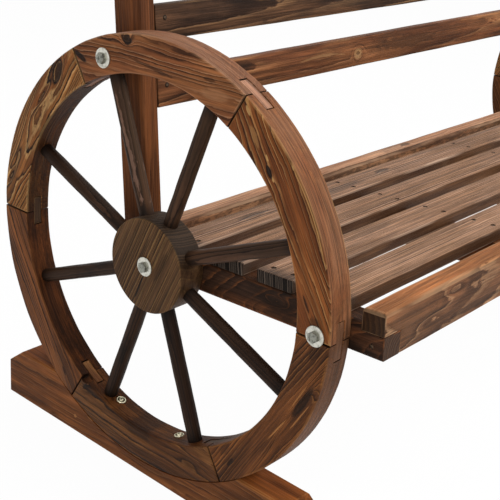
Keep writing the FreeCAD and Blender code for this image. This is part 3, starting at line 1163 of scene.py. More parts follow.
    def build_joint(self, number: int, settings: dict, look: FlamedFir, seed: float) -> None:
        """Builds and dresses a felloe and the tongue in the joint after it.

        Args:
            number: The felloe's number, from 1 to 6.
            settings: Values of its grain.
            look: Its finish.
            seed: Noise seed of the tongue.
        """
        out, end = rim_direction(self.joint(number - 0.5)), rim_direction(self.joint(number))
        grain = self.grain(out * (self.radius - 0.75 * self.rim_depth), (0.0, out.z, -out.y),
                           axle=self.frame.matrix.translation, **settings)
        node = f"{self.label}_felloe_{number}"
        material = look.material(node + "_fir", grain)
        piece = self.felloe(number)
        if number in (4, 5):
            drilled(piece, self.chip())
        dress(piece, material, "rim_wood", node)
        # around darkens the tongue's sides, which show only in the narrow slack of its slot: painted shade.
        grain = self.grain(end * (self.radius - self.rim_depth / 2), (0.0, end.z, -end.y), end,
                           pith_side=60.0, pith_depth=40.0, tilt=0.0, seed=seed, around=0.3)
        early, ember = self.tongue_tones[number - 1]
        tone = replace(look, early=early, ember=ember, line=0.5, crest=0.2, plain=0.8)
        material = tone.material(f"{self.label}_tongue_{number}_fir", grain)
        dress(self.tongue(number), material, "rim_wood", f"{self.label}_felloe_tongues")

    def build_spoke(self, number: int, angle: float, seed: float) -> None:
        """Builds and dresses a spoke; the upper ones are paler, and the third has a pale streak along
        its side, a painted highlight.

        Args:
            number: The spoke's number, from 1 to 8.
            angle: Its angle, in degrees.
            seed: Its noise seed.
        """
        out = rim_direction(angle)
        look, marks = self.spoke_look, ()
        if number < 4:
            look = replace(look, early="#3C291B", ember="#483020")
        if number == 3:
            look = replace(look, early="#3E2C1E", burn=0.2)
            # The third spoke's long pale streak is a painted highlight along its side.
            marks = (Mark(0.0, -3.0, 2.2, 34.0, light=0.4, turn=1.5, ragged=3.0),)
        # reach darkens both ends: char and painted shade where the spoke meets hub and rim.
        grain = self.grain(out * 155.0, out, pith_side=14.0, pith_depth=30.0, tilt=0.01, seed=seed,
                           reach=70.0, marks=marks)
        node = f"{self.label}_spoke_{number}"
        dress(self.spoke(number, out), look.material(node + "_fir", grain), "spoke_wood", node)

    def build_hub(self, seed: float) -> None:
        """Builds and dresses the hub.

        Args:
            seed: Its noise seed.
        """
        marks = (Mark(-34.0, -4.0, 1.8, 12.0, dark=1.3, turn=3.0, ragged=0.1),
                 Mark(18.0, -22.0, 5.0, 6.0, dark=0.5), Mark(20.0, 12.0, 1.0, 24.0, dark=0.8))
        # around darkens the hub's round side: painted shade.
        grain = self.grain(Vector(), rim_direction(66.0), pith_side=120.0, pith_depth=18.0, tilt=0.0,
                           seed=seed, around=0.72, marks=marks)
        node = f"{self.label}_hub"
        dress(self.hub(), self.hub_look.material(node + "_fir", grain), "hub_wood", node)

    def build(self, grains: dict[int, dict], looks: dict[int, FlamedFir], seed: float) -> None:
        """Builds and dresses the whole wheel.

        Args:
            grains: Grain settings by felloe number.
            looks: Finishes by felloe number.
            seed: Start of the other pieces' noise seeds.
        """
        for number in range(1, self.joints + 1):
            self.build_joint(number, grains[number], looks[number], seed + 30 + number)
        for number, angle in enumerate(self.spoke_angles, start=1):
            self.build_spoke(number, angle, seed + number)
        self.build_hub(seed + 20)


# Boards

@dataclass(frozen=True)
class Timber:
    """Places of the boards and their screws, in the seat's and the back's own frames.

    Attributes:
        seat_half: Half length of the seat slats and the front rail.
        front_rail: Y of the front rail's front and back.
        rear_rail: Y of the rear rail's front and back.
        rear_half: Half length of the rear rail with its tenons.
        bottom: Z of the undersides of rails and bearers.
        slat_bottom: Z of the undersides of the seat slats.
        top: Z of the tops of slats and rails.
        bearer_lines: X of the side and middle bearers' middles.
        bearer_half: Half the width of a middle bearer.
        slat_fronts: Y of the seat slats' fronts.
        slat_width: Width of a seat slat.
        screw_side: Distance of a slat's screws from its middle line.
        screw_level: Z of the pits under the screws' heads.
        lap_screw: Y and Z of the screw in each lap of the front rail.
        back_half: Half length of a back slat with its tenons.
        back_depth: Y of the back slats' fronts and backs.
        back_levels: Z of their undersides.
        back_width: Height of a back slat.
        back_screw: X of a back slat's screw and its Z above the underside.
    """

    seat_half: float = 710.0
    front_rail: tuple[float, float] = (-346.0, -314.0)
    rear_rail: tuple[float, float] = (28.0, 60.0)
    rear_half: float = 676.0
    bottom: float = -29.0
    slat_bottom: float = 13.0
    top: float = 31.0
    bearer_lines: tuple[float, ...] = (-693.0, -346.5, 0.0, 346.5, 693.0)
    bearer_half: float = 17.0
    slat_fronts: tuple[float, ...] = (-291.2, -211.4, -131.6, -51.8)
    slat_width: float = 57.0
    screw_side: float = 15.4
    screw_level: float = 29.5
    lap_screw: tuple[float, float] = (-330.0, -14.0)
    back_half: float = 683.0
    back_depth: tuple[float, float] = (36.0, 54.0)
    back_levels: tuple[float, ...] = (193.6, 280.6, 367.6, 454.6)
    back_width: float = 46.0
    back_screw: tuple[float, float] = (666.0, 28.6)

    def slat_screws(self, front: float) -> list[tuple[float, float]]:
        """X and Y of the screws in the seat slat with that front."""
        return [(x, front + self.slat_width / 2 + side) for x in self.bearer_lines
                for side in (-self.screw_side, self.screw_side)]


@dataclass(frozen=True)
class Board:
    """A planed board between two corners of a leaning frame, with rounded arrises.

    Attributes:
        name: Name of the CAD node that it replaces.
        low: Lowest corner, in mm.
        high: Highest corner, in mm.
        arris: Radius of the arrises, in mm.
        seed: Place in the noise field.
        fibres: Axis that the fibres follow, 0 for x or 1 for y.
        step: Length of the steps in which it wanders, in mm.
    """

    name: str
    low: Triple
    high: Triple
    arris: float = 3.0
    seed: float = 0.0
    fibres: int = 0
    step: float = 30.0

    @property
    def middle(self) -> Vector:
        """Middle of the board."""
        return (Vector(self.low) + Vector(self.high)) / 2

    @property
    def along(self) -> Vector:
        """Direction of the fibres."""
        return Vector((1.0, 0.0, 0.0)) if self.fibres == 0 else Vector((0.0, 1.0, 0.0))

    def mesh(self) -> Mesh:
        """Makes a block with rounded arrises, which are pale along the fibres only, partly from wear
        and partly painted highlight.

        Returns:
            The mesh.
        """
        bm = bmesh.new()
        bmesh.ops.create_cube(bm, size=1.0)
        size = Vector(self.high) - Vector(self.low)
        bmesh.ops.scale(bm, vec=size, verts=bm.verts)
        bmesh.ops.translate(bm, vec=self.middle, verts=bm.verts)
        ease(bm, corner_edges(bm), self.arris, 4)
        layer, axis = bm.faces.layers.float["worn_arris"], self.fibres
        for face in bm.faces:
            if abs(face.calc_center_median()[axis] - self.middle[axis]) > size[axis] / 2 - self.arris:
                face[layer] = 0.0
        return bm

    def roughen(self, bm: Mesh) -> None:
        """Cuts the mesh across the fibres and makes it a little uneven.

        Args:
            bm: The mesh.
        """
        start, stop = self.low[self.fibres], self.high[self.fibres]
        cut_across(bm, self.along, start, stop, int((stop - start) / self.step))
        wander(bm, 0.5, 0.02, self.seed)

    def build(self, frame: LeaningFrame) -> Piece:
        """Builds the board.

        Args:
            frame: Frame that its corners are in.

        Returns:
            The board.
        """
        bm = self.mesh()
        self.roughen(bm)
        return finished(bm, self.name + "_wood", frame.matrix)

    def material(self, frame: LeaningFrame, face: Triple, look: FlamedFir, **settings) -> bpy.types.Material:
        """Makes the finish of the board.

        Args:
            frame: Frame that its corners are in.
            face: Direction of the show face in that frame.
            look: The finish.
            settings: Other values of the grain.

        Returns:
            The material.
        """
        grain = Grain(centre=frame.matrix @ self.middle, along=turned(frame.matrix, self.along),
                      face=turned(frame.matrix, face), seed=self.seed, **settings)
        return look.material(self.name + "_fir", grain)


@dataclass(frozen=True)
class LappedRail(Board):
    """The front rail, whose ends are halved over the side bearers.

    Attributes:
        lap: Length of each lap, in mm.
        lap_level: Z of the laps' undersides, in mm.
        small_arris: Radius of all arrises but the top ones, in mm.
    """

    lap: float = 34.0
    lap_level: float = 1.0
    small_arris: float = 1.2

    def mesh(self) -> Mesh:
        """Makes the rail with half of its depth cut away under both ends and a well rounded top.

        Returns:
            The mesh.
        """
        (x0, y0, z0), (x1, y1, z1) = self.low, self.high
        start, stop, level = x0 + self.lap, x1 - self.lap, self.lap_level
        outline = ((start, z0), (stop, z0), (stop, level), (x1, level), (x1, z1), (x0, z1), (x0, level),
                   (start, level))
        bm = bmesh.new()
        face = bm.faces.new([bm.verts.new((x, y0, z)) for x, z in outline])
        made = bmesh.ops.extrude_face_region(bm, geom=[face])
        moved = [v for v in made["geom"] if isinstance(v, bmesh.types.BMVert)]
        bmesh.ops.translate(bm, vec=(0, y1 - y0, 0), verts=moved)
        bmesh.ops.recalc_face_normals(bm, faces=bm.faces)
        ease(bm, [e for e in corner_edges(bm) if all(v.co.z > z1 - 0.1 for v in e.verts)], self.arris, 5)
        ease(bm, corner_edges(bm, 60.0), self.small_arris, 2)
        return bm


@dataclass(frozen=True)
class WaneRail(Board):
    """The rear rail, whose front top arris has an uneven wane.

    Attributes:
        cuts: Distances of the cuts that let the wane bend, from the arris, in mm.
    """

    step: float = 18.0
    cuts: tuple[float, ...] = (5.0, 9.0)

    def mesh(self) -> Mesh:
        """Makes the rail with cuts beside its front top arris.

        Returns:
            The mesh.
        """
        bm = super().mesh()
        for cut in self.cuts:
            for level, axis in ((self.high[2] - cut, Vector((0, 0, 1))),
                                (self.low[1] + cut, Vector((0, 1, 0)))):
                bmesh.ops.bisect_plane(bm, geom=[*bm.verts, *bm.edges, *bm.faces], plane_co=level * axis,
                                       plane_no=axis)
        return bm

    def roughen(self, bm: Mesh) -> None:
        """Makes the rail uneven and takes the wane off its front top arris.

        Args:
            bm: The mesh.
        """
        super().roughen(bm)
        for vert in bm.verts:
            near = (vert.co.y - self.low[1]) + (self.high[2] - vert.co.z)
            bite = 5.0 + 5.5 * noise.noise(Vector((vert.co.x * 0.012, 4.2, 0.0)))
            bite += 2.0 * noise.noise(Vector((vert.co.x * 0.06, 1.2, 0.0)))
            if near < bite:
                vert.co += Vector((0.0, 0.5, -0.5)) * (bite - near)


@dataclass
class Carpentry:
    """Seat frame, seat slats, back slats, posts, bearers and skids.

    Attributes:
        nodes: CAD nodes by name.
        seat: Frame of the seat.
        back: Frame of the back.
        timber: Places of the boards.
        hole_radius: Middle radius of a slat screw's sunk hole.
        hole_depth: Its depth.
        jointed_arris: Arris of the pieces whose joints come from the solids, in metres.
    """

    nodes: dict[str, Piece]
    seat: LeaningFrame
    back: LeaningFrame
    timber: Timber = Timber()
    hole_radius: float = 3.65
    hole_depth: float = 1.7
    jointed_arris: float = 0.0015

    def rails(self) -> None:
        """Builds the front and the rear rail."""
        t = self.timber
        front = LappedRail("front_rail", (-t.seat_half, t.front_rail[0], t.bottom),
                           (t.seat_half, t.front_rail[1], t.top), arris=5.0, seed=3.0)
        rear = WaneRail("rear_rail", (-t.rear_half, t.rear_rail[0], t.bottom),
                        (t.rear_half, t.rear_rail[1], t.top), seed=8.0)
        piece = front.build(self.seat)
        # behind lightens the rail's top: painted light.
        material = front.material(self.seat, (0, -1, 0), FRONT_RAIL, pith_side=8.0, pith_depth=110.0,
                                  tilt=0.08, marks=FRONT_RAIL_MARKS, behind=1.62)
        dress(piece, material, "frame_wood", front.name)
        piece = rear.build(self.seat)
        # before darkens the rail's front side, in the gap behind the last slat: painted shade.
        material = rear.material(self.seat, (0, 0, 1), REAR_RAIL, pith_side=60.0, pith_depth=60.0,
                                 tilt=0.02, before=0.5, marks=REAR_RAIL_MARKS)
        dress(piece, material, "frame_wood", rear.name)

    def middle_bearers(self) -> None:
        """Builds the three middle bearers."""
        t = self.timber
        for number, x in enumerate(t.bearer_lines[1:-1], start=1):
            board = Board(f"middle_bearer_{number}", (x - t.bearer_half, t.front_rail[1], t.bottom),
                          (x + t.bearer_half, t.rear_rail[0], t.slat_bottom), arris=2.0, seed=20.0 + number,
                          fibres=1)
            material = board.material(self.seat, (0, 0, 1), FRAME, pith_depth=50.0)
            dress(board.build(self.seat), material, "frame_wood", board.name)

    def seat_slats(self) -> None:
        """Builds the four seat slats, with a sunk hole for every screw."""
        t = self.timber
        for number, front in enumerate(t.slat_fronts, start=1):
            board = Board(f"seat_slat_{number}", (-t.seat_half, front, t.slat_bottom),
                          (t.seat_half, front + t.slat_width, t.top), arris=2.6, seed=30.0 + 3 * number)
            piece = board.build(self.seat)
            drilled(piece, joined([self.screw_hole(x, y) for x, y in t.slat_screws(front)]))
            # before and behind darken the slats' front and back sides in the gaps between them: painted
            # shade, partly char.
            material = board.material(self.seat, (0, 0, 1), SEAT, pith_side=110.0 + 14 * number,
                                      pith_depth=6.0 + 9 * number, tilt=0.02, before=0.54, behind=0.45,
                                      marks=SEAT_MARKS[number - 1], side_tone_and_light="#4A3020", reach=682.0)
            dress(piece, material, "seat_slat_wood", board.name)

    def screw_hole(self, x: float, y: float) -> Mesh:
        """Makes the drill for one sunk screw hole in a seat slat's top.

        Args:
            x: X of the screw in the seat's frame.
            y: Y of the screw in it.

        Returns:
            The drill, in metres.
        """
        bm = rod(self.hole_radius - 0.55, 2 * self.hole_depth, 20, self.hole_radius + 0.55)
        return placed(bm, self.seat.matrix @ Matrix.Translation((x, y, self.timber.top)))

    def back_slats(self) -> None:
        """Builds the four back slats, each in its own tone."""
        t = self.timber
        for number, low in enumerate(t.back_levels, start=1):
            board = Board(f"back_slat_{number}", (-t.back_half, t.back_depth[0], low),
                          (t.back_half, t.back_depth[1], low + t.back_width), arris=2.4,
                          seed=50.0 + 5 * number)
            early, ember = BACK_TONES[number - 1]
            piece = board.build(self.back)
            material = board.material(self.back, (0, -1, 0), replace(BACK, early=early, ember=ember),
                                      pith_side=6.0, pith_depth=60.0, tilt=0.015,
                                      marks=BACK_MARKS if number == 1 else ())
            dress(piece, material, "back_slat_wood", board.name)

    def jointed(self, side: Side, kind: str, along: Vector, face: Vector, look: FlamedFir, slot: str,
                **settings) -> None:
        """Dresses a piece whose joints come from its solid.

        Args:
            side: End of the bench that the piece is on.
            kind: Name of its CAD node without left or right.
            along: Direction of the fibres in the bench's frame.
            face: Direction of the show face in it.
            look: Finish of the piece.
            slot: Material slot of the piece.
            settings: Other values of the grain.
        """
        node = f"{side.name.lower()}_{kind}"
        low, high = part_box(node)
        grain = Grain(centre=(low + high) / 2, along=along, face=face, seed=70.0 + 4 * len(node) + side.value,
                      **settings)
        bm = bmesh.new()
        bm.from_mesh(self.nodes[node].data)
        bmesh.ops.remove_doubles(bm, verts=bm.verts, dist=1e-5)
        bmesh.ops.dissolve_limit(bm, angle_limit=math.radians(0.5), verts=bm.verts, edges=bm.edges)
        # Edges up to 12 mm long belong to holes and mortises, which stay crisp.
        ease(bm, [e for e in corner_edges(bm, 30.0) if e.calc_length() > 0.012], self.jointed_arris)
        dress(finished(bm, node + "_wood"), look.material(node + "_fir", grain), slot, node)

    def end(self, side: Side) -> None:
        """Dresses the bearer, the post and the skid of one end.

        Args:
            side: Which end.
        """
        seat, back, out = self.seat.matrix, self.back.matrix, Vector((side.value, 0.0, 0.0))
        # The skids' tops are made a little darker by the way they face: painted shade.
        top = {"before" if side is Side.LEFT else "behind": 0.95}
        self.jointed(side, "bearer", turned(seat, (0, 1, 0)), out, BEARER, "frame_wood", pith_depth=70.0,
                     tilt=0.2, pith_side=16.0, marks=BEARER_MARKS)
        self.jointed(side, "back_post", turned(back, (0, 0, 1)), turned(back, (0, -1, 0)), POST,
                     "frame_wood", pith_side=-40.0, pith_depth=50.0, tilt=0.02)
        self.jointed(side, "skid", Vector((0, 1, 0)), out, SKID, "skid_wood", pith_side=70.0,
                     pith_depth=60.0, tilt=0.03, marks=SKID_MARKS, **top)

    def build(self) -> None:
        """Builds all the boards."""
        self.rails()
        self.middle_bearers()
        self.seat_slats()
        self.back_slats()
        for side in Side:
            self.end(side)


# Fasteners

@dataclass
class Fasteners:
    """Bolts, washers, nuts and screws, which stand on zero along Z before they are placed.

    Attributes:
        wheel_frames: Frames of both wheels.
        seat: Frame of the seat.
        back: Frame of the back.
        zinc: Finish of the washers.
        head: Finish of the bolt heads and nuts.
        yellow: Finish of the skid screws.
        brown: Finish of the slat screws.
        black: Finish of the black discs that paint the shade in the screws' grooves and pits.
        timber: Places of the boards.
        bolts: Outer end of each wheel bolt's grip in the wheel's frame: hub, seat and post bolt.
        flats: Width of heads and nuts across their flats.
        head_height: Height of a bolt's head, with its raised disc.
        head_disc: Radius and height of that disc.
        nut_height: Height of a nut.
        crown: Rounding of the corners of heads and nuts.
        washer: Radius and thickness of a washer.
        bolt_radius: Radius of the bolts.
        thread_end: Length of thread that shows.
        half_pitch: Distance between a thread's ridge and the next groove.
        skid_angles: Angles of the skid screws, in degrees.
        skid_place: Their heads' depth from the wheel's outer face and distance from the axle.
        flange: Outline of their heads: radius and height.
    """

    wheel_frames: tuple[WheelFrame, ...]
    seat: LeaningFrame
    back: LeaningFrame
    zinc: bpy.types.Material
    head: bpy.types.Material
    yellow: bpy.types.Material
    brown: bpy.types.Material
    black: bpy.types.Material
    timber: Timber = Timber()
    bolts: tuple[Triple, ...] = ((-2.0, 0.0, 0.0), (0.0, -278.84, 9.61), (0.0, 92.16, 256.45))
    flats: float = 13.0
    head_height: float = 5.3
    head_disc: tuple[float, float] = (5.4, 0.3)
    nut_height: float = 6.5
    crown: float = 0.7
    washer: tuple[float, float] = (13.1, 2.0)
    bolt_radius: float = 4.0
    thread_end: float = 13.5
    half_pitch: float = 0.62
    skid_angles: tuple[float, float] = (255.2, 282.6)
    skid_place: tuple[float, float] = (23.5, 249.93)
    flange: tuple[tuple[float, float], ...] = (
        (0.0, 3.6), (1.6, 3.4), (2.9, 2.8), (3.5, 1.8), (3.7, 0.4), (5.2, 0.4), (5.5, 1.6), (6.5, 1.6),
        (7.1, 1.0), (7.1, 0.0))

    def hexagon(self, height: float) -> Mesh:
        """Makes a hexagonal head or nut with its upper corners turned off.

        Args:
            height: Its height.

        Returns:
            The mesh.
        """
        bm = rod(self.flats / 2 / math.cos(math.radians(30)), height, 6)
        bmesh.ops.translate(bm, vec=(0, 0, height / 2), verts=bm.verts)
        ease(bm, [e for e in bm.edges if all(v.co.z > height - 0.01 for v in e.verts)], self.crown, 2)
        return bm

    def disc(self, radius: float, height: float, arris: float, base: float = 0.0) -> Mesh:
        """Makes a round disc with eased edges.

        Args:
            radius: Its radius.
            height: Its height.
            arris: Radius of its edges.
            base: Level that it stands on.

        Returns:
            The mesh.
        """
        bm = rod(radius, height, 40)
        bmesh.ops.translate(bm, vec=(0, 0, base + height / 2), verts=bm.verts)
        ease(bm, corner_edges(bm), arris, 2)
        return bm

    def thread(self) -> Mesh:
        """Makes the threaded end of a bolt, as grooves and ridges.

        Returns:
            The mesh.
        """
        length = self.thread_end
        levels = int(length / self.half_pitch)
        bm = rod(self.bolt_radius, length, 24)
        bmesh.ops.translate(bm, vec=(0, 0, length / 2), verts=bm.verts)
        cut_across(bm, Vector((0, 0, 1)), 0.0, length, levels)
        for vert in bm.verts:
            if round(vert.co.z / length * levels) % 2:
                vert.co.xy *= 0.86
        return bm

    def flanged_head(self) -> Mesh:
        """Makes a screw head with a flange, a turned groove and a domed middle, by spinning its outline.

        Returns:
            The mesh.
        """
        bm = bmesh.new()
        points = [bm.verts.new((r, 0.0, z)) for r, z in self.flange]
        edges = [bm.edges.new(pair) for pair in zip(points, points[1:])]
        bmesh.ops.spin(bm, geom=[*points, *edges], cent=(0, 0, 0), axis=(0, 0, 1), angle=math.radians(360),
                       steps=36, dvec=(0, 0, 0), use_merge=True, use_duplicate=False)
        bmesh.ops.remove_doubles(bm, verts=bm.verts, dist=1e-4)
        bmesh.ops.holes_fill(bm, edges=[e for e in bm.edges if e.is_boundary])
        return bm

    def wheel_bolts(self) -> None:
        """Builds the bolts, washers and nuts of both wheels."""
        heads, washers, nuts = [], [], []
        raised = Matrix.Translation((0, 0, self.washer[1]))
        disc_base = self.head_height - self.head_disc[1]
        # The hub and seat bolts go through the bearer, the post bolt through the post.
        faces = [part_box(node)[1].x for node in ("left_bearer", "left_bearer", "left_back_post")]
        for frame in self.wheel_frames:
            for index, ((near, y, z), face) in enumerate(zip(self.bolts, faces)):
                turn = Matrix.Rotation(math.radians(23.0 + 17.0 * index), 4, "Z")
                ends = []
                for x, quarter in ((near, -90), ((face + frame.half) / MM, 90)):
                    place = frame.matrix @ Matrix.Translation((x, y, z))
                    ends.append(place @ Matrix.Rotation(math.radians(quarter), 4, "Y") @ turn)
                start, stop = ends
                heads.append(placed(self.hexagon(disc_base), start @ raised))
                heads.append(placed(self.disc(*self.head_disc, 0.1, disc_base), start @ raised))
                heads.append(placed(self.thread(), stop))
                washers += [placed(self.disc(*self.washer, 0.4), place) for place in ends]
                nuts.append(placed(self.hexagon(self.nut_height), stop @ raised))
        for name, parts in (("wheel_bolts", heads), ("wheel_washers", washers), ("wheel_nuts", nuts)):
            piece = finished(joined(parts), name + "_steel")
            dress(piece, self.zinc if parts is washers else self.head, "zinc_steel", name)

    def skid_screws(self) -> None:
        """Builds the flanged screws that hold the rims to the skids."""
        heads, grooves = [], []
        depth, radius = self.skid_place
        for frame in self.wheel_frames:
            for angle in self.skid_angles:
                out = rim_direction(angle)
                matrix = frame.matrix @ Matrix.Translation(out * radius + Vector((depth, 0, 0))) @ aimed(-out)
                heads.append(placed(self.flanged_head(), matrix))
                # Black discs paint the shade in the groove round the dome and in a recess on top of it.
                grooves += [placed(self.disc(5.3, 0.4, 0.1, 0.3), matrix),
                            placed(self.disc(1.2, 0.4, 0.1, 3.3), matrix)]
        dress(finished(joined(grooves), "skid_screw_grooves"), self.black, "yellow_zinc")
        dress(finished(joined(heads), "skid_screws_steel"), self.yellow, "yellow_zinc", "skid_screws")

    def slat_screws(self) -> None:
        """Builds the sunk screws of the seat slats, of the front rail's laps and of the back slats."""
        t = self.timber
        places = [self.seat.matrix @ Matrix.Translation((x, y, t.screw_level)) for front in t.slat_fronts
                  for x, y in t.slat_screws(front)]
        for end in (-1, 1):
            outward = Matrix.Rotation(math.radians(90 * end), 4, "Y")
            places.append(self.seat.matrix @ Matrix.Translation((end * t.seat_half, *t.lap_screw)) @ outward)
        forward = Matrix.Rotation(math.radians(90), 4, "X")
        x, above = t.back_screw
        front = t.back_depth[0] - 0.1
        places += [self.back.matrix @ Matrix.Translation((place, front, low + above)) @ forward
                   for place in (-x, x) for low in t.back_levels]
        # A black disc at the bottom of each pit paints its shade.
        pits = [placed(self.disc(3.4, 0.25, 0.1), place) for place in places]
        heads = [placed(self.disc(2.2, 0.6, 0.25), place) for place in places]
        dress(finished(joined(pits), "slat_screw_pits"), self.black, "seat_slat_wood")
        dress(finished(joined(heads), "slat_screws_steel"), self.brown, "zinc_steel")

    def build(self) -> None:
        """Builds all the fasteners."""
        self.wheel_bolts()
        self.skid_screws()
        self.slat_screws()


# Stage

@dataclass(frozen=True)
class Studio:
    """Camera, white paper and soft lights.

    Attributes:
        azimuth: Direction that the camera looks in, in degrees.
        elevation: How far it looks down, in degrees.
        roll: How far it leans, in degrees.
        location: Its place, in metres.
        lens: Focal length, in mm on a sensor of 36 mm.
        shift: Sideways shift of the picture, as a share of its width.
        aim: Point that the lamps face, in metres.
        lamps: Name, place, side of the square box in metres and power in watts of each lamp.
        paper: Half the paper's side, in metres.
    """

    azimuth: float = -49.23
    elevation: float = 22.95
    roll: float = 4.18
    location: Triple = (-1.62992, -0.86865, 0.87989)
    lens: float = 75.432
    shift: float = 0.05
    aim: Triple = (-0.3, 0.0, 0.35)
    lamps: tuple[tuple[str, Triple, float, float], ...] = (
        ("key", (0.9, -2.2, 2.9), 2.2, 118.0), ("fill", (-3.0, -1.4, 1.5), 2.0, 24.0),
        ("top", (-0.3, 0.6, 3.4), 2.4, 50.0))
    paper: float = 12.0

    def camera(self) -> None:
        """Sets the camera at the photograph's viewing angle."""
        a, e, r = (math.radians(v) for v in (self.azimuth, self.elevation, self.roll))
        back = Vector((math.sin(a) * math.cos(e), -math.cos(a) * math.cos(e), math.sin(e)))
        right = Vector((0, 0, 1)).cross(back).normalized()
        up = back.cross(right)
        x = math.cos(r) * right + math.sin(r) * up
        y = -math.sin(r) * right + math.cos(r) * up
        data = bpy.data.cameras.new("camera")
        data.sensor_width = 36.0
        data.lens = self.lens
        data.shift_x = self.shift
        data.clip_start, data.clip_end = 0.05, 60.0
        camera = bpy.data.objects.new("camera", data)
        camera.matrix_world = Matrix((x, y, back)).transposed().to_4x4()
        camera.location = self.location
        bpy.context.scene.collection.objects.link(camera)
        bpy.context.scene.camera = camera

    def lamp(self, name: str, place: Vector, size: float, power: float) -> None:
        """Adds a square softbox.

        Args:
            name: Name of the lamp.
            place: Where it stands, in metres.
            size: Side of the box, in metres.
            power: Power, in watts.
        """
        data = bpy.data.lights.new(name, "AREA")
        data.shape, data.size, data.energy = "SQUARE", size, power
        lamp = bpy.data.objects.new(name, data)
        lamp.matrix_world = (place - Vector(self.aim)).to_track_quat("Z", "Y").to_matrix().to_4x4()
        lamp.location = place
        bpy.context.scene.collection.objects.link(lamp)

    def build(self) -> None:
        """Builds the whole stage."""
        white = StudioWhite()
        scene = bpy.context.scene
        scene.view_settings.view_transform = "Standard"
        self.camera()
        bm = bmesh.new()
        bmesh.ops.create_grid(bm, x_segments=1, y_segments=1, size=self.paper)
        # The paper lies a little lower than the skids, so that the two don't flicker.
        floor = finished(bm, "floor", Matrix.Translation((0, 0, -0.2 * MM)))
        floor.data.materials.append(white.material("studio_paper"))
        for name, place, size, power in self.lamps:
            self.lamp(name, Vector(place), size, power)
        scene.world = white.room("studio")


# Finishes and grain of this bench

# The rim is dark, with hard black lines and golden crests, partly painted highlight; its end grain is nearly
# black.
# The nearly black end grain is partly char and partly painted shade inside the narrow joints.
RIM = FlamedFir(end_pale="#24170E", end_dark="#120B07", wear_and_gleam=0.28, hair=0.15)
RIM_LOOKS = {
    1: replace(RIM, early="#723F1F", ember="#905429", late="#241006", pale="#C6985F", ring=5.6, plain=0.75,
               wear_and_gleam=0.4, thick=0.36, relief=1.9, crest=0.65, wander=11.0, torn=0.4, hair=0.35),
    2: replace(RIM, early="#7E4B2D", ember="#98603A", late="#1E0F07", pale="#BE906A", ring=4.8, line=0.9,
               thick=0.42, plain=0.3, torn=0.45, crest=0.7, relief=1.9, wander=10.0),
    3: replace(RIM, early="#804C27", ember="#9A6436", late="#20130A", pale="#CDA26C", ring=2.9, crest=0.75,
               line=1.05, thick=0.44, plain=0.05, torn=0.5, streak=0.7, burn=0.25, relief=2.0, wander=8.0),
    # Felloes 4 to 6, the lower half of the rim, get darker colours than 1 to 3: painted shade of the wheel's
    # lower half.
    4: replace(RIM, early="#56321A", ember="#7E4A26", late="#150C06", pale="#9A6238", ring=4.6),
    5: replace(RIM, early="#523018", ember="#744A28", late="#140B06", pale="#855A34", ring=6.0, wander=12.0,
               burn=0.4, plain=0.7),
    6: replace(RIM, early="#54311A", ember="#744422", late="#150B05", pale="#AD7440", ring=4.0, line=0.95,
               crest=0.6, plain=0.5, hair=0.3, thick=0.42, relief=1.9),
}
# The spokes are turned and flamed all round: smooth, almost black, with faint grey streaks.
SPOKE = FlamedFir(early="#2A1A10", ember="#332114", late="#0C0705", pale="#9A7664", char="#0B0705", ring=4.0,
                  wander=2.0, burn=0.5, rough=0.5, relief=0.4, crest=0.1, wear_and_gleam=0.0, streak=0.45, band=0.35)
# The hub's face is sawn near the heart, so straight ochre lines cross a greyish brown.
HUB = FlamedFir(early="#513722", ember="#5E422A", late="#160E08", pale="#8A6A40", char="#150D08", ring=4.4,
                line=1.0, crest=0.8, wander=1.6, torn=0.15, burn=0.25, relief=0.9, plain=0.6, wear_and_gleam=0.12,
                thick=0.42, end_pale="#3C2D21", end_dark="#261C14")
# The seat's frame is a plain red-brown.
FRAME = FlamedFir(early="#5C351D", ember="#6E4022", late="#24140A", pale="#8E5C38", char="#1A100A", ring=4.6)
POST = replace(FRAME, line=0.6)
# The front rail shows broad arches of wide rings.
FRONT_RAIL = replace(FRAME, early="#604029", ember="#744C31", late="#2E1B0E", ring=8.0, pale="#B08B68",
                     char="#2A1A10", wear_and_gleam=0.45, line=0.85, end_pale="#3C2818", end_dark="#2A1B11", crest=0.6,
                     burn=0.28)
# The rear rail's top is pale, and a dark line runs along it.
REAR_RAIL = replace(FRAME, early="#9E7052", ember="#B08668", late="#4C2D1C", ring=4.0, line=0.6,
                    pale="#B08C6E")
# The side bearers are charred nearly black, with glowing brown arcs left between.
BEARER = replace(FRAME, early="#38251A", ember="#50301D", late="#140C08", pale="#8A5028", char="#1A110B",
                 crest=0.6, line=0.9, ring=4.4, wander=7.0, torn=0.2, burn=0.62, plain=0.8, hair=0.1,
                 thick=0.55, end_pale="#4C3422", end_dark="#38251A")
# The seat slats are lightly flamed and rubbed, so they are pale and greyish with fine straight lines.
SEAT = FlamedFir(early="#8C684D", ember="#9C775D", late="#38241A", pale="#C0A088", char="#42362E", ring=3.1,
                 wander=2.0, torn=0.15, line=0.95, crest=0.75, streak=0.9, band=0.4, burn=0.1, rough=0.5,
                 relief=1.3, end_pale="#5C4F45", end_dark="#0A0705", hair=0.45, wear_and_gleam=0.4, thick=0.4,
                 plain=0.15)
# The back slats are smooth, with broad soft bands; the lowest is the warmest.
BACK = FlamedFir(late="#22130A", pale="#A27A52", char="#1C110A", ring=6.0, wander=4.0, torn=0.15,
                 crest=0.35, burn=0.3, streak=0.8, band=0.8, plain=0.7, wear_and_gleam=0.25)
BACK_TONES = (("#663D25", "#7C4F31"), ("#3C2A1E", "#523826"), ("#4A3020", "#624028"), ("#54341F", "#6A442A"))
# The skids are orange brown, with hardly any ring lines.
SKID = FlamedFir(early="#63391D", ember="#86502A", late="#24130A", pale="#A87242", char="#22140B", ring=6.0,
                 wander=7.0, burn=0.25, band=0.7, line=0.6, plain=0.85, hair=0.15)
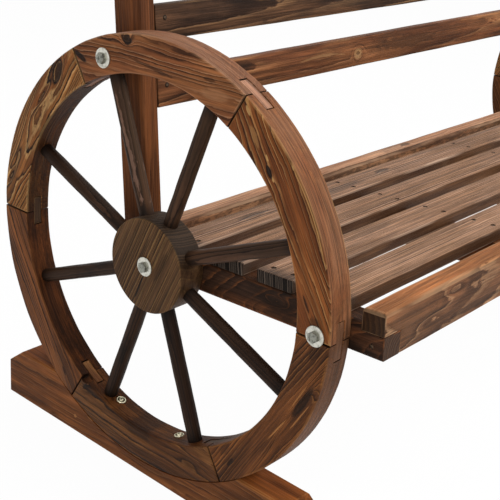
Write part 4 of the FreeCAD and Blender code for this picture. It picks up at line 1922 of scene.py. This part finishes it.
# Painted shade: matt black discs in the screws' grooves and at the bottom of the screw pits.
PIT_SHADE = FlamedFir(early="#1C130D", ember="#1C130D", late="#0C0806", pale="#2A1D14", char="#0C0806")
ZINC = PlatedSteel(colour="#CFCDC2", dull="#A3A195")
DULLED_ZINC = PlatedSteel(colour="#8E8E84", dull="#45443D", rough=0.3)
YELLOW_ZINC = PlatedSteel(colour="#D2CBB0", dull="#8F886C")
STAINED_STEEL = PlatedSteel(colour="#5A4A3C", dull="#231B15", rough=0.45)

# behind darkens each felloe's inner rim, most at the back: partly char, partly painted shade.
FELLOES = {
    1: dict(pith_side=42.0, pith_depth=16.0, tilt=0.0, sway=-0.02, seed=1.0, behind=0.4, side_tone_and_light="#78523A",
            marks=(Mark(60.3, 5.4, 4.2, 2.2, 3.0, 1.0), Mark(76.0, 1.6, 1.5, 3.0, light=0.9, ragged=1.0),
                   Mark(50.3, 3.5, 1.3, 2.6, light=0.9, ragged=1.0),
                   Mark(134.0, 5.9, 2.4, 2.6, light=0.8, ragged=1.4),
                   Mark(104.0, 8.8, 4.0, 4.0, light=0.3, ragged=1.2, calm=0.8),
                   Mark(55.3, -30.3, 1.5, 2.6, light=0.8),
                   # A long pale line bent along the outer arris: a painted highlight, partly wear.
                   Mark(0.0, -35.0, 0.9, 80.0, light=0.7, bend=8.8, ragged=0.8),
                   Mark(-72.0, 20.0, 13.0, 4.0, calm=1.0), Mark(5.0, -17.0, 9.0, 6.0, calm=0.95),
                   Mark(-96.0, 16.0, 1.8, 7.0, dark=0.9), Mark(-128.0, 12.0, 9.0, 2.2, dark=0.6, ragged=0.9),
                   Mark(10.0, 2.0, 3.0, 9.0, dark=0.35, ragged=1.4))),
    2: dict(pith_side=46.0, pith_depth=26.0, tilt=0.02, sway=0.03, seed=2.0, behind=0.4, side_tone_and_light="#7C5A46",
            marks=(Mark(46.6, -26.0, 7.6, 1.2, 11.0, 1.0, ragged=0.8),
                   Mark(134.0, 11.0, 4.6, 3.2, dark=1.0, turn=-24.0),
                   Mark(8.0, 0.0, 2.3, 22.0, dark=0.6, turn=-8.0, ragged=1.3),
                   Mark(-94.0, -4.0, 3.2, 3.4, dark=0.6, ragged=1.2), Mark(-20.0, 17.0, 12.0, 9.0, calm=0.9),
                   Mark(90.0, 16.0, 9.0, 4.0, calm=0.8), Mark(-104.0, 12.0, 8.0, 3.0, light=0.2, calm=0.9))),
    3: dict(pith_side=-2.0, pith_depth=15.0, tilt=0.03, seed=3.4, behind=0.2,
            marks=(Mark(-102.0, -3.0, 7.0, 2.8, 6.0, 0.95, turn=8.0, ragged=0.8),
                   Mark(-50.0, -13.0, 3.6, 6.0, 7.0, 0.4, turn=-8.0, ragged=0.8),
                   Mark(62.0, -9.0, 5.0, 4.0, 3.0, 0.3, turn=6.0, ragged=0.9),
                   Mark(98.0, -8.0, 5.4, 4.0, 4.0, 0.5),
                   Mark(-10.0, 6.0, 3.0, 9.0, dark=0.3, ragged=1.0),
                   Mark(28.0, -2.0, 2.6, 9.0, light=0.35, ragged=1.0))),
    4: dict(pith_side=44.0, pith_depth=25.0, tilt=0.02, seed=4.2, behind=0.32,
            marks=(Mark(112.0, 6.0, 2.2, 3.4, dark=0.8, ragged=1.0),
                   Mark(1.0, 6.0, 5.0, 9.0, dark=0.4, ragged=1.2),
                   Mark(104.0, -6.0, 10.0, 4.0, light=0.3, ragged=1.2, calm=0.7))),
    5: dict(pith_side=34.0, pith_depth=20.0, tilt=-0.05, seed=5.1, behind=0.8,
            marks=(Mark(-8.0, 8.0, 11.0, 2.6, dark=0.6, ragged=1.0), Mark(96.0, 6.0, 7.0, 3.0, 6.0, 0.35))),
    6: dict(pith_side=52.0, pith_depth=14.0, tilt=0.0, sway=0.02, seed=6.3, side_tone_and_light="#61402A",
            marks=(Mark(6.0, 2.0, 12.0, 7.0, calm=0.9),
                   Mark(46.0, -16.0, 8.0, 8.0, 16.0, turn=2.0, calm=0.2),
                   Mark(60.0, -14.5, 5.4, 5.6, dark=0.85, turn=2.0, ragged=0.9),
                   Mark(62.0, -6.5, 1.2, 22.0, light=0.6, turn=3.0, ragged=0.8),
                   Mark(40.0, -23.0, 1.1, 24.0, light=0.6, ragged=0.8),
                   Mark(-4.0, -11.0, 1.2, 22.0, light=0.8, turn=-3.0, ragged=0.9),
                   Mark(-108.0, 9.0, 3.0, 3.4, dark=0.85), Mark(-100.0, 25.0, 5.0, 3.0, dark=0.5),
                   Mark(128.0, 12.0, 7.0, 2.0, dark=0.5, ragged=0.9))),
}
FRONT_RAIL_MARKS = (Mark(-691.0, -1.0, 5.0, 2.0, light=0.7, ragged=1.2),
                    Mark(-557.8, 16.0, 5.0, 3.0, 9.0, 0.25), Mark(-611.0, -10.0, 7.0, 3.5, 8.0),
                    Mark(-500.0, -20.0, 5.0, 14.0, dark=0.6, ragged=1.0))
REAR_RAIL_MARKS = (Mark(0.0, -13.0, 3.6, 400.0, dark=0.6, ragged=1.6),
                   Mark(-72.0, 3.0, 7.0, 2.2, 6.0, 0.7))
BEARER_MARKS = (Mark(-60.0, -6.0, 6.0, 2.5, 14.0, 0.6), Mark(-130.0, 4.0, 7.0, 2.5, 12.0))
SEAT_MARKS = (
    (Mark(-640.0, 24.0, 3.0, 20.0, dark=0.5),),
    (Mark(-500.0, 10.0, 8.0, 8.0, dark=0.35, ragged=1.0),),
    (Mark(-420.0, -12.0, 6.0, 12.0, dark=0.3, ragged=1.0),),
    (Mark(-366.0, -5.0, 9.0, 7.0, dark=0.55, ragged=1.1), Mark(-240.0, 6.0, 7.0, 3.0, 6.0, 0.75),
     Mark(-560.0, 4.0, 7.0, 5.0, 5.0, 0.6, ragged=1.0),
     Mark(-120.0, -26.0, 3.0, 16.0, light=0.9, ragged=1.4)))
BACK_MARKS = (Mark(-235.0, -3.0, 9.0, 1.3, 20.0, 0.0, 0.3, calm=-1.5),
              Mark(-330.0, 4.0, 2.4, 26.0, light=0.4, bend=-5.0, ragged=1.2),
              Mark(-90.0, 2.0, 12.0, 8.0, dark=0.3, ragged=1.2, calm=0.8),
              Mark(-235.0, -3.0, 10.0, 1.2, light=0.5, ragged=0.4),
              Mark(-235.0, -3.0, 3.2, 1.8, dark=0.6, ragged=0.5),
              Mark(-60.0, 0.0, 30.0, 5.5, dark=0.42, ragged=0.6, calm=0.9))
SKID_MARKS = (Mark(137.4, 14.5, 3.2, 1.1, light=1.0, ragged=0.2),
              Mark(100.0, 3.0, 2.4, 5.0, light=0.45, ragged=1.2),
              Mark(40.0, -10.0, 8.0, 8.0, dark=0.3, ragged=1.2))
SEAT_LEAN = 3.0
BACK_LEAN = 6.4
# The right wheel has the left one's grain in another part of the noise.
RIGHT_SEED = 31.0
# Without a seed the noise that moves the boards' points would differ from run to run.
NOISE_SEED = 1


def main() -> None:
    """Builds the dressed bench and its stage."""
    logging.basicConfig(level=logging.INFO, format="%(message)s")
    noise.seed_set(NOISE_SEED)
    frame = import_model()
    low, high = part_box("left_hub")
    depth, height = (low.y + high.y) / 2, (low.z + high.z) / 2
    half = -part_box("left_felloe_1")[0].x
    wheel_frames = tuple(WheelFrame(side, half, depth, height) for side in Side)
    seat, back = LeaningFrame(SEAT_LEAN, depth, height), LeaningFrame(BACK_LEAN, depth, height)
    for wheel_frame in wheel_frames:
        shift = 0.0 if wheel_frame.side is Side.LEFT else RIGHT_SEED
        grains = {number: {**grain, "seed": grain["seed"] + shift} for number, grain in FELLOES.items()}
        Wheel(wheel_frame, SPOKE, HUB).build(grains, RIM_LOOKS, 40.0 + shift)
    Carpentry(frame["nodes"], seat, back).build()
    # Painted shade for the screws' grooves and pits.
    pit_shade = PIT_SHADE.material("burnt_hole", Grain(Vector((0, 0, 0.3)), Vector((1, 0, 0)), Vector((0, 0, 1))))
    Fasteners(wheel_frames, seat, back, ZINC.material("zinc_plate"),
              DULLED_ZINC.material("dulled_zinc_plate"), YELLOW_ZINC.material("yellow_zinc_plate"),
              STAINED_STEEL.material("stained_screw_steel"), pit_shade).build()
    Studio().build()


if __name__ == "__main__":
    main()
